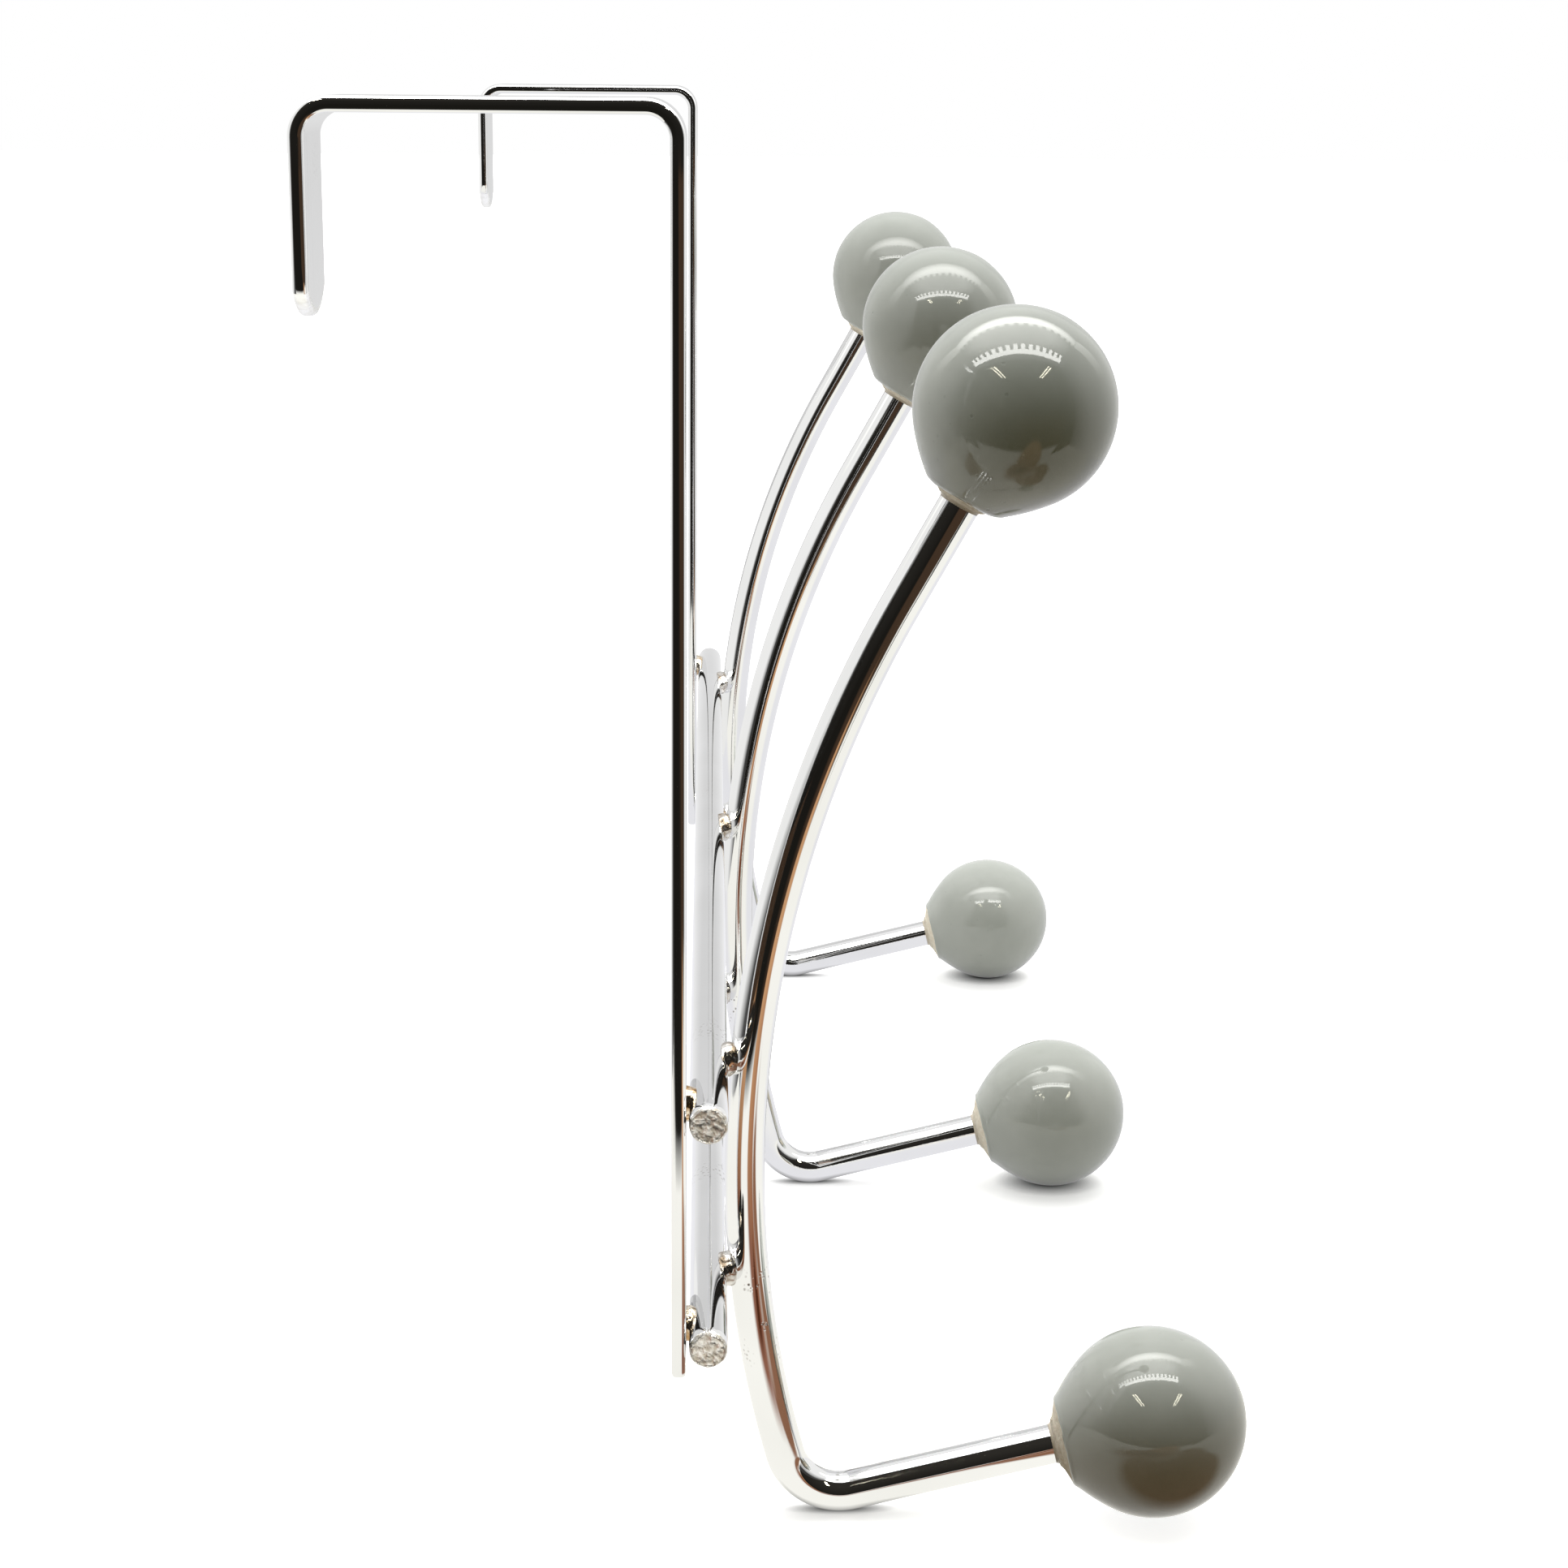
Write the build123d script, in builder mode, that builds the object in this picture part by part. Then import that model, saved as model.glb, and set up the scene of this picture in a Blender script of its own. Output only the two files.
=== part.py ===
"""Over door hook rack: two bent strip brackets, two cross bars and three double hooks with ceramic balls.

The frame is the rack hung on a door. Z = 0 is the door's top edge, Y = 0 is the middle of its thickness,
the hooks stand out towards -Y, and X runs along the bars with X = 0 in the middle of the rack.
Lengths are millimetres and angles are degrees.
"""
import os
from math import asin, cos, degrees, radians, sin, sqrt

from build123d import *

# Door brackets, bent from flat strip
strip_width = 15.0
strip_thickness = 1.8
strip_edge_flat = 0.6  # left between the two rounded corners of the strip's edge
strip_bend_radius = 2.7  # inside of both bends
strap_end_radius = 1.0  # corners of the strap's cut end
door_gap = 40.0
strap_drop = 150.4  # door top edge to the end of the front strap
lip_drop = 22.6  # door top edge to the tip of the back lip
lip_crown = 3.0  # height of the lip's rounded end
bracket_spacing = 263.0

# Cross bars
bar_diameter = 4.8
bar_pitch = 29.0
bar_margin = 4.1  # lower bar's centre above the strap's end
bar_overhang = 0.5  # bar end past the bracket's outer edge
bar_end_chamfer = 0.3

# Hook wires
wire_diameter = 5.2
hook_spacing = 115.0
sweep_radius = 152.0  # long curve of the arm, on the wire's centre line
arm_lean = 29.0  # lean of the straight upper arm from upright
arm_length = 27.0  # straight upper arm, from the long curve to the ball's centre
hook_drop = 180.6  # door top edge to the underside of the crook
crook_radius = 7.5  # tight bend at the bottom, on the wire's centre line
prong_rise = 13.8  # rise of the lower prong from level
wire_end_chamfer = 0.4

# Ceramic balls, glued on the wire ends
ball_diameter = 25.0
neck_angle = 52.0  # between the wire and the line from the ball's centre to where its neck starts
foot_diameter = 10.8  # edge of the unglazed foot, before it is rounded
foot_offset = 12.15  # ball's centre to the foot's edge, along the wire
foot_dome = 0.9  # rise of the foot from its edge to the socket
foot_edge_radius = 1.0
socket_depth = 9.0
glue_thickness = 0.4  # between the wire and the socket wall
glue_bed = 1.0  # between the wire's end and the socket's bottom
glue_fillet = 0.5  # squeezed out of the socket, up the wire

# Welds
weld_gap = 0.3  # left between the pieces that a weld joins
hook_weld_diameter = 5.6
bracket_weld_diameter = 5.0

# Places that follow from the sizes
wire_radius = wire_diameter / 2
bar_radius = bar_diameter / 2
ball_radius = ball_diameter / 2
strap_back_y = -door_gap / 2
strap_front_y = strap_back_y - strip_thickness
lip_inner_y = door_gap / 2
lip_middle_y = lip_inner_y + strip_thickness / 2
strip_edge_radius = (strip_thickness - strip_edge_flat) / 2

lower_bar_z = -strap_drop + bar_margin
upper_bar_z = lower_bar_z + bar_pitch
bar_y = strap_front_y - weld_gap - bar_radius
bar_length = bracket_spacing + strip_width + 2 * bar_overhang

# The long curve passes both bars at the weld gap, so its centre is level with the middle of the two bars
bar_to_sweep_centre = sweep_radius + wire_radius + weld_gap + bar_radius
sweep_z = (upper_bar_z + lower_bar_z) / 2
sweep_y = bar_y - sqrt(bar_to_sweep_centre**2 - (bar_pitch / 2) ** 2)

# The crook is tangent to the long curve, and its underside is the rack's lowest line
crook_z = -hook_drop + wire_radius + crook_radius
crook_turn_start = degrees(asin((sweep_z - crook_z) / (sweep_radius - crook_radius)))
crook_turn = 90 - crook_turn_start + prong_rise

# The prong is as long as it takes for the lower balls to reach that same line
prong_fall = crook_radius * (1 - cos(radians(prong_rise)))
prong_length = (ball_radius - wire_radius - prong_fall) / sin(radians(prong_rise))

# The neck leaves the sphere without an edge, and curves in to the foot
foot_radius = foot_diameter / 2
neck_radius = ball_radius * sin(radians(neck_angle))
neck_offset = ball_radius * cos(radians(neck_angle))
neck_direction = (-cos(radians(neck_angle)), sin(radians(neck_angle)))

# Along a wire from the ball's centre: the socket's mouth, its bottom and the wire's end
socket_mouth = foot_offset + foot_dome
socket_bottom = socket_mouth - socket_depth
socket_radius = wire_radius + glue_thickness
wire_end_offset = socket_bottom + glue_bed

bracket_places = {"left": -bracket_spacing / 2, "right": bracket_spacing / 2}
hook_places = {"left": -hook_spacing, "middle": 0.0, "right": hook_spacing}
bar_places = {"upper": upper_bar_z, "lower": lower_bar_z}

os.makedirs("parts", exist_ok=True)

# Door brackets: lip, top span and strap are one strip with two right-angle bends
door_brackets = {}
for side, bracket_x in bracket_places.items():
    with BuildPart() as door_bracket:
        with BuildSketch(Plane.YZ.offset(bracket_x)):
            with BuildLine():
                FilletPolyline(
                    (strap_back_y, -strap_drop),
                    (strap_back_y, 0),
                    (lip_inner_y, 0),
                    (lip_inner_y, -lip_drop),
                    radius=strip_bend_radius,
                )
                offset(amount=strip_thickness, side=Side.LEFT)
            make_face()
        extrude(amount=strip_width / 2, both=True)

        strap_end = door_bracket.faces().sort_by(Axis.Z)[0]
        fillet(strap_end.edges().filter_by(Axis.Y), radius=strap_end_radius)

        lip_plane = Plane((bracket_x, lip_middle_y, 0), x_dir=(1, 0, 0), z_dir=(0, -1, 0))
        with BuildSketch(lip_plane):
            with BuildLine():
                ThreePointArc(
                    (-strip_width / 2, lip_crown - lip_drop),
                    (0, -lip_drop),
                    (strip_width / 2, lip_crown - lip_drop),
                )
                Polyline(
                    (strip_width / 2, lip_crown - lip_drop),
                    (strip_width / 2, -lip_drop - lip_crown),
                    (-strip_width / 2, -lip_drop - lip_crown),
                    (-strip_width / 2, lip_crown - lip_drop),
                )
            make_face()
        extrude(amount=strip_thickness, both=True, mode=Mode.SUBTRACT)

        strip_sides = door_bracket.faces().filter_by(Plane.YZ)
        fillet(strip_sides.edges(), radius=strip_edge_radius)
    door_bracket.part.label = f"{side}_door_bracket"
    export_step(door_bracket.part, f"parts/{side}_door_bracket.step")
    door_brackets[side] = door_bracket.part

# Cross bars: round bar, cut to length
cross_bars = {}
for level, bar_z in bar_places.items():
    with BuildPart() as cross_bar:
        with BuildSketch(Plane.YZ):
            with Locations((bar_y, bar_z)):
                Circle(bar_radius)
        extrude(amount=bar_length / 2, both=True)
        chamfer(cross_bar.edges().filter_by(GeomType.CIRCLE), length=bar_end_chamfer)
    cross_bar.part.label = f"{level}_cross_bar"
    export_step(cross_bar.part, f"parts/{level}_cross_bar.step")
    cross_bars[level] = cross_bar.part

# Hook wires: straight upper arm, long curve past the bars, tight crook and straight lower prong
arm_direction = Vector(0, sin(radians(arm_lean)), -cos(radians(arm_lean)))
curve_start_y = sweep_y + sweep_radius * cos(radians(arm_lean))
curve_start_z = sweep_z + sweep_radius * sin(radians(arm_lean))
hook_wires = {}
wire_ends = {}
for side, hook_x in hook_places.items():
    curve_start = Vector(hook_x, curve_start_y, curve_start_z)
    upper_ball_centre = curve_start - arm_direction * arm_length
    with BuildPart() as hook_wire:
        with BuildLine() as hook_line:
            arm = Line(upper_ball_centre + arm_direction * wire_end_offset, curve_start)
            hook_plane = Plane(curve_start, x_dir=(0, 1, 0), z_dir=(1, 0, 0))
            with BuildLine(hook_plane):
                sweep_curve = JernArc(
                    start=(0, 0),
                    tangent=(arm_direction.Y, arm_direction.Z),
                    radius=sweep_radius,
                    arc_size=-(arm_lean + crook_turn_start),
                )
                crook = JernArc(
                    start=sweep_curve @ 1,
                    tangent=sweep_curve % 1,
                    radius=crook_radius,
                    arc_size=-crook_turn,
                )
            prong_start = crook @ 1
            prong_direction = crook % 1
            prong = Line(prong_start, prong_start + prong_direction * (prong_length - wire_end_offset))
        with BuildSketch(Plane(arm @ 0, z_dir=arm_direction)):
            Circle(wire_radius)
        sweep(path=hook_line.line)
        wire_cuts = hook_wire.faces().filter_by(GeomType.PLANE)
        chamfer(wire_cuts.edges(), length=wire_end_chamfer)
    hook_wire.part.label = f"{side}_hook_wire"
    export_step(hook_wire.part, f"parts/{side}_hook_wire.step")
    hook_wires[side] = hook_wire.part
    wire_ends[f"{side}_upper"] = (upper_ball_centre, arm_direction)
    wire_ends[f"{side}_lower"] = (prong_start + prong_direction * prong_length, -prong_direction)


def ball_section(centre, towards_wire):
    """Half-section plane of a ball: X is the radius, Y runs from the ball's centre out along the wire."""
    return Plane(centre, x_dir=(1, 0, 0), z_dir=Vector(1, 0, 0).cross(towards_wire))


# Balls: turned form with a full neck, a low domed foot and a blind socket for the wire
for place, (centre, towards_wire) in wire_ends.items():
    with BuildPart() as ball:
        with BuildSketch(ball_section(centre, towards_wire)) as half_ball:
            with BuildLine():
                ThreePointArc((0, -ball_radius), (ball_radius, 0), (neck_radius, neck_offset))
                TangentArc((neck_radius, neck_offset), (foot_radius, foot_offset), tangent=neck_direction)
                Polyline(
                    (foot_radius, foot_offset),
                    (socket_radius, socket_mouth),
                    (socket_radius, socket_bottom),
                    (0, socket_bottom),
                    (0, -ball_radius),
                )
            make_face()
            foot_corner = half_ball.vertices().sort_by_distance((foot_radius, foot_offset))[0]
            fillet(foot_corner, radius=foot_edge_radius)
        revolve(axis=Axis(centre, towards_wire))
    ball.part.label = f"{place}_ball"
    export_step(ball.part, f"parts/{place}_ball.step")

# Adhesive: a cup of glue round each wire end, filling its socket, with a fillet up the wire
with BuildPart() as ball_adhesive:
    for centre, towards_wire in wire_ends.values():
        with BuildSketch(ball_section(centre, towards_wire)):
            with BuildLine():
                Polyline(
                    (0, socket_bottom),
                    (socket_radius, socket_bottom),
                    (socket_radius, socket_mouth),
                    (wire_radius, socket_mouth + glue_fillet),
                    (wire_radius, wire_end_offset),
                    (0, wire_end_offset),
                    close=True,
                )
            make_face()
        revolve(axis=Axis(centre, towards_wire))
ball_adhesive.part.label = "ball_adhesive"
export_step(ball_adhesive.part, "parts/ball_adhesive.step")

# Hook welds: a bead in the crossing of each wire and bar
sweep_centre = Vector(0, sweep_y, sweep_z)
with BuildPart() as hook_welds:
    for bar_z in bar_places.values():
        bar_centre = Vector(0, bar_y, bar_z)
        towards_wire = (sweep_centre - bar_centre).normalized()
        crossing = bar_centre + towards_wire * (bar_radius + weld_gap / 2)
        for hook_x in hook_places.values():
            with Locations((hook_x, crossing.Y, crossing.Z)):
                Sphere(hook_weld_diameter / 2)
    add([*hook_wires.values(), *cross_bars.values()], mode=Mode.SUBTRACT)
hook_welds.part.label = "hook_welds"
export_step(hook_welds.part, "parts/hook_welds.step")

# Bracket welds: a bead between each bar and the front of each strap
with BuildPart() as bracket_welds:
    for bar_z in bar_places.values():
        for bracket_x in bracket_places.values():
            with Locations((bracket_x, strap_front_y - weld_gap / 2, bar_z)):
                Sphere(bracket_weld_diameter / 2)
    split(bisect_by=Plane((0, strap_front_y, 0), z_dir=(0, -1, 0)), keep=Keep.TOP)
    add(cross_bars.values(), mode=Mode.SUBTRACT)
bracket_welds.part.label = "bracket_welds"
export_step(bracket_welds.part, "parts/bracket_welds.step")
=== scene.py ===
# %% [markdown]
# # An over door hook, dressed in Blender
#
# The object is a chromed rack that hangs on a door: two bent strips, two cross bars, three double hooks of
# bent wire, and a glazed ceramic ball on each of the six wire ends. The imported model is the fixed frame.
# Everything below is built in metres in that frame, so a piece goes exactly where its CAD node is. The
# nodes are right in shape but made of loose triangles, which show as facets in a mirror finish. So each
# node gets a smooth visual piece of its own that replaces it.

# %% Load the frame
import math

import bmesh
import bpy
from mathutils import Matrix, Quaternion, Vector, noise


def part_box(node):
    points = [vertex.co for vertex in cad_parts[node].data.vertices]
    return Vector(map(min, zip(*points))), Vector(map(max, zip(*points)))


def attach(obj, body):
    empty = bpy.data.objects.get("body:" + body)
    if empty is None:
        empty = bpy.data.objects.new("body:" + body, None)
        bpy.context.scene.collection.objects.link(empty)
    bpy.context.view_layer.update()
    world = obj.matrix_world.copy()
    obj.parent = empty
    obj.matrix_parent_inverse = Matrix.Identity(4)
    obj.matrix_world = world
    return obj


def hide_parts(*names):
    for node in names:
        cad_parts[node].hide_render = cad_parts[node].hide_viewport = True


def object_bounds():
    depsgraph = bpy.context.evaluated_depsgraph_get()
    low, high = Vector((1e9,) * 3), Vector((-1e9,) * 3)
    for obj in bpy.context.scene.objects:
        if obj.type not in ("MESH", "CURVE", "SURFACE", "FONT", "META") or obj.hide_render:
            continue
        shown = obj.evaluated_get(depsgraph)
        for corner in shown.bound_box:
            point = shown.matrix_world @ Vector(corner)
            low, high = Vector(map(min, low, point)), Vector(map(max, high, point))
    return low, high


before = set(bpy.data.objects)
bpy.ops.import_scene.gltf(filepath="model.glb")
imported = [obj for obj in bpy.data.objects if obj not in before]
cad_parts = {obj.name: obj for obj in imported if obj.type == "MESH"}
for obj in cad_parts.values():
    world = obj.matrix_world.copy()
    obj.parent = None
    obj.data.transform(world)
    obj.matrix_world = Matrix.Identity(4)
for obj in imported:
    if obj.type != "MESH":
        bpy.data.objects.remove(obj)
cad_low, cad_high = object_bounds()
MM = 0.001
print("CAD box in mm:", [round(v / MM, 1) for v in cad_low], [round(v / MM, 1) for v in cad_high])

# %% [markdown]
# ## Camera
#
# The photo looks along the bars from close by, slightly down, with the brackets edge on. The camera could
# be placed by eye, but a fit to the balls, bar ends and strip edges gives place, direction and lens at
# once. The direction becomes a rotation with to_track_quat, and the small roll is turned about the camera's
# own axis.

# %% Camera at the photo's view
CAMERA_PLACE = Vector((-458.19, -24.47, 4.76)) * MM
CAMERA_DIRECTION = Vector((0.96963, -0.02628, -0.24316))
CAMERA_ROLL = math.radians(0.50)
LENS_MM = 65.29
SENSOR_MM = 36.0

camera_data = bpy.data.cameras.new("camera")
camera_data.lens = LENS_MM
camera_data.sensor_width = SENSOR_MM
camera_data.clip_start = 10 * MM
camera = bpy.data.objects.new("camera", camera_data)
bpy.context.scene.collection.objects.link(camera)
camera.location = CAMERA_PLACE
camera.rotation_mode = "QUATERNION"
level_view = CAMERA_DIRECTION.to_track_quat("-Z", "Y")
camera.rotation_quaternion = level_view @ Quaternion((0, 0, 1), CAMERA_ROLL)
bpy.context.scene.camera = camera
bpy.context.scene.view_settings.view_transform = "Standard"
print("camera", round(CAMERA_PLACE.length / MM), "mm from the door's top edge, lens", LENS_MM, "mm")

# %% [markdown]
# ## Chrome plate
#
# Wires, bars and strips are steel with a bright chrome plate. A metal of one colour and no roughness would
# look like a computer's mirror, so three faint things are added: clouds in the plate, a roughness that
# changes from place to place, and a slow waviness from drawing and polishing. Pits, as small dark specks,
# come in patches. Small helpers add nodes, because every finish below needs the same few kinds. A helper
# that gets a value finds the node tree from it.


# %% Helpers for node trees
def feed(target, inputs):
    """Set sockets, by name or number, to a value, to another node's output or to a node's first output."""
    for key, value in inputs.items():
        if isinstance(value, bpy.types.Node):
            value = value.outputs[0]
        if isinstance(value, bpy.types.NodeSocket):
            target.id_data.links.new(value, target.inputs[key])
        else:
            target.inputs[key].default_value = value


def add_node(tree, kind, inputs=None, **settings):
    """Add a node with these settings and inputs."""
    made = tree.nodes.new(kind)
    for key, value in settings.items():
        setattr(made, key, value)
    feed(made, inputs or {})
    return made


def place_on_object(tree):
    """Place of a point in its object's own frame, in metres."""
    return add_node(tree, "ShaderNodeTexCoord").outputs["Object"]


def new_finish(name):
    """A new material, its node tree, its shader and the place on the object."""
    material = bpy.data.materials.new(name)
    material.use_nodes = True
    tree = material.node_tree
    return material, tree, tree.nodes["Principled BSDF"], place_on_object(tree)


print("node helpers ready")


# %% Helpers for values and colours
def grain(where, scale, detail=2.0, stretch=None):
    """Noise of the given scale per metre, stretched if asked, as a value about 0.5."""
    tree = where.id_data
    if stretch:
        where = add_node(tree, "ShaderNodeMapping", {"Vector": where, "Scale": stretch})
    made = add_node(tree, "ShaderNodeTexNoise", {"Vector": where, "Scale": scale, "Detail": detail})
    return made.outputs["Fac"]


def spread(value, low, high, to_low=0.0, to_high=1.0):
    """Map a value from one range to another, held at both ends."""
    sockets = {"Value": value, "From Min": low, "From Max": high, "To Min": to_low, "To Max": to_high}
    return add_node(value.id_data, "ShaderNodeMapRange", sockets).outputs["Result"]


def blend_colours(share, first, second):
    """First colour where share is 0, second where it is 1."""
    first, second = ((*c, 1.0) if isinstance(c, tuple) else c for c in (first, second))
    colours = {0: share, 6: first, 7: second}
    return add_node(share.id_data, "ShaderNodeMix", colours, data_type="RGBA").outputs[2]


def calculate(operation, first, second):
    """One sum on two values, of which at least one is another node's output."""
    tree = (second if isinstance(first, float) else first).id_data
    return add_node(tree, "ShaderNodeMath", {0: first, 1: second}, operation=operation).outputs["Value"]


def relief(height, distance):
    """Bumps from a height of 0 to 1, which stands for the distance."""
    inputs = {"Height": height, "Strength": 1.0, "Distance": distance}
    return add_node(height.id_data, "ShaderNodeBump", inputs)


def pit_mask(where, pits_per_metre, size, patches):
    """Small round specks, 1 in a pit and 0 outside, only in the patches."""
    cells = add_node(where.id_data, "ShaderNodeTexVoronoi", {"Vector": where, "Scale": pits_per_metre})
    speck = spread(cells.outputs["Distance"], size * 0.5, size, 1.0, 0.0)
    return calculate("MULTIPLY", speck, patches)


print("value helpers ready")

# %% Chrome
PITS_FROM, PITS_FULL, PITS_FEWER, PITS_TO = 0.1110, 0.1140, 0.1175, 0.1290  # along a wire, in metres
PLATE_DULL, PLATE_BRIGHT, PIT_BROWN = (0.80, 0.80, 0.80), (0.86, 0.86, 0.865), (0.16, 0.13, 0.10)
PLATE_WAVES = 0.022 * MM


def make_chrome(name, place=None):
    """Bright plate. Place names an attribute that runs along a wire, for its drawing marks and its pits."""
    material, tree, shader, where = new_finish(name)
    if place:
        along = add_node(tree, "ShaderNodeAttribute", attribute_name=place).outputs["Vector"]
        run = add_node(tree, "ShaderNodeSeparateXYZ", {"Vector": along}).outputs["Z"]
        near_weld = spread(run, PITS_FROM, PITS_FULL)
        near_weld = calculate("MULTIPLY", near_weld, spread(run, PITS_FEWER, PITS_TO, 1.0, 0.0))
        patches = calculate("MULTIPLY", near_weld, spread(grain(where, 330.0), 0.55, 0.64))
    else:
        along = where
        patches = spread(grain(where, 38.0, 1.0), 0.66, 0.74, 0.0, 0.6)
    pits = pit_mask(where, 1500.0, 0.36, patches)
    clouds = grain(where, 55.0, 3.0)
    plate = blend_colours(spread(clouds, 0.3, 0.7), PLATE_DULL, PLATE_BRIGHT)
    drawn = grain(along, 900.0, 2.0, stretch=(1.0, 1.0, 0.02))
    smooth = spread(drawn, 0.3, 0.75, 0.02, 0.07)
    wavy = grain(where, 95.0, 1.0)
    dented = calculate("SUBTRACT", wavy, calculate("MULTIPLY", pits, 2.0))
    looks = {
        "Base Color": blend_colours(pits, plate, PIT_BROWN),
        "Roughness": calculate("ADD", smooth, calculate("MULTIPLY", pits, 0.4)),
        "Normal": relief(dented, PLATE_WAVES),
        "Metallic": 1.0,
    }
    feed(shader, looks)
    return material


chrome_wire = make_chrome("chrome_wire", "wire_place")
chrome_strip = make_chrome("chrome_strip")
print("made", chrome_wire.name, "and", chrome_strip.name)

# %% [markdown]
# ## Cut ends and weld beads
#
# The bars and the lips are sheared, and the plate on a sheared face is dull and mottled, because the torn
# steel under it isn't polished. The lips' ends are finer and paler than the bars'. The weld beads were
# plated too, over scale, so they are bright in places and bronze or brown in others. All are metals with
# strong, fine relief.


# %% Sheared steel and weld bead
def make_rough_metal(name, pale, dark, grain_scale, height, roughness):
    """Plated steel over a torn or fused surface: mottled in colour, roughness and relief."""
    material, _, shader, where = new_finish(name)
    mottle = grain(where, grain_scale, 4.0)
    looks = {
        "Base Color": blend_colours(spread(mottle, 0.40, 0.62), pale, dark),
        "Roughness": spread(mottle, 0.35, 0.65, *roughness),
        "Normal": relief(mottle, height),
        "Metallic": 1.0,
    }
    feed(shader, looks)
    return material


sheared_steel = make_rough_metal(
    "sheared_steel", (0.95, 0.93, 0.89), (0.66, 0.61, 0.52), 1300.0, 0.20 * MM, (0.30, 0.5)
)
lip_steel = make_rough_metal(
    "lip_steel", (0.98, 0.98, 0.97), (0.88, 0.87, 0.85), 900.0, 0.08 * MM, (0.25, 0.4)
)
weld_metal = make_rough_metal(
    "weld_metal", (0.88, 0.80, 0.66), (0.45, 0.27, 0.12), 520.0, 0.10 * MM, (0.06, 0.22)
)
hook_weld_metal = make_rough_metal(
    "hook_weld_metal", (0.74, 0.72, 0.69), (0.26, 0.20, 0.14), 640.0, 0.12 * MM, (0.10, 0.32)
)
print("made", sheared_steel.name, lip_steel.name, weld_metal.name, "and", hook_weld_metal.name)

# %% [markdown]
# ## Glaze, bare clay and glue
#
# Each ball is dipped in a grey glaze up to its neck, and the foot round the wire stays bare clay. Two
# materials with a hard border would look like paint, so one shader reads a "bare" attribute from the mesh:
# it fades from glossy grey to dull cream over the rolled edge of the glaze. The glaze itself is slightly
# cloudy, with pinholes. The glue in the sockets is a cloudy brownish resin.

# %% Glazed ceramic
GLAZE_DARK, GLAZE_PALE, PINHOLE_DARK = (0.445, 0.466, 0.424), (0.490, 0.511, 0.469), (0.14, 0.14, 0.13)
CLAY_PALE, CLAY_DARK = (0.92, 0.86, 0.72), (0.82, 0.73, 0.58)

glazed_ceramic, glaze_tree, glaze_shader, glaze_where = new_finish("glazed_ceramic")
bare_share = add_node(glaze_tree, "ShaderNodeAttribute", attribute_name="bare").outputs["Fac"]
glaze_clouds = grain(glaze_where, 130.0, 3.0)
pinhole_patches = spread(grain(glaze_where, 60.0, 1.0), 0.55, 0.70)
pinholes = pit_mask(glaze_where, 480.0, 0.13, pinhole_patches)
pinhole_share = calculate("MULTIPLY", pinholes, 0.3)
glaze_colour = blend_colours(spread(glaze_clouds, 0.3, 0.7), GLAZE_DARK, GLAZE_PALE)
glaze_colour = blend_colours(pinhole_share, glaze_colour, PINHOLE_DARK)
glaze_gloss = spread(glaze_clouds, 0.3, 0.7, 0.03, 0.06)
glaze_relief = calculate("SUBTRACT", grain(glaze_where, 170.0, 1.0), pinholes)
clay_grain = grain(glaze_where, 1500.0, 4.0)
clay_colour = blend_colours(spread(clay_grain, 0.35, 0.65), CLAY_PALE, CLAY_DARK)
clay_rough = calculate("MULTIPLY", bare_share, 0.8)
clay_relief = calculate("MULTIPLY", calculate("MULTIPLY", clay_grain, bare_share), 6.0)
ceramic_looks = {
    "Base Color": blend_colours(bare_share, glaze_colour, clay_colour),
    "Roughness": calculate("ADD", glaze_gloss, clay_rough),
    "Normal": relief(calculate("ADD", glaze_relief, clay_relief), 0.03 * MM),
    "IOR": 1.52,
}
feed(glaze_shader, ceramic_looks)
print("made", glazed_ceramic.name)

# %% Glue
GLUE_DARK, GLUE_PALE = (0.62, 0.54, 0.42), (0.78, 0.70, 0.57)

cured_glue, _, glue_shader, glue_where = new_finish("cured_glue")
glue_clouds = grain(glue_where, 700.0, 3.0)
glue_looks = {
    "Base Color": blend_colours(spread(glue_clouds, 0.3, 0.7), GLUE_DARK, GLUE_PALE),
    "Roughness": spread(glue_clouds, 0.3, 0.7, 0.22, 0.4),
    "Normal": relief(glue_clouds, 0.1 * MM),
}
feed(glue_shader, glue_looks)
print("made", cured_glue.name)

# %% [markdown]
# ## The line of a hook
#
# A hook is one wire: a straight arm from the upper ball, a long curve that touches both bars, a tight crook
# at the bottom and a straight prong to the lower ball. A hand-drawn Bezier would only come near it. Two
# lines and two arcs that meet without a corner are what a wire bender makes, so the line is worked out from
# those.

# %% Wire line from lines and arcs
SWEEP_RADIUS = 152.0 * MM
CROOK_RADIUS = 7.5 * MM
ARM_LEAN = math.radians(29.0)
PRONG_RISE = math.radians(13.8)
HOOKS = ("left", "middle", "right")
LEVELS = ("upper", "lower")


def middle_of(node):
    """Middle of a CAD node's box."""
    low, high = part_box(node)
    return (low + high) / 2


wire_low, wire_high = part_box("left_hook_wire")
wire_radius = (wire_high.x - wire_low.x) / 2
bar_low, bar_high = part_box("upper_cross_bar")
bar_radius = (bar_high.y - bar_low.y) / 2
bar_y = middle_of("upper_cross_bar").y
bar_heights = [middle_of(f"{level}_cross_bar").z for level in LEVELS]
hook_places = {hook: middle_of(f"{hook}_hook_wire").x for hook in HOOKS}

sweep_centre = Vector((0, wire_high.y - wire_radius - SWEEP_RADIUS, sum(bar_heights) / 2))
crook_height = wire_low.z + wire_radius + CROOK_RADIUS
crook_start = math.asin((sweep_centre.z - crook_height) / (SWEEP_RADIUS - CROOK_RADIUS))


def on_circle(centre, radius, angle):
    """Point on an upright circle across the bars, angle from +Y."""
    return centre + Vector((0, math.cos(angle), math.sin(angle))) * radius


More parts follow.
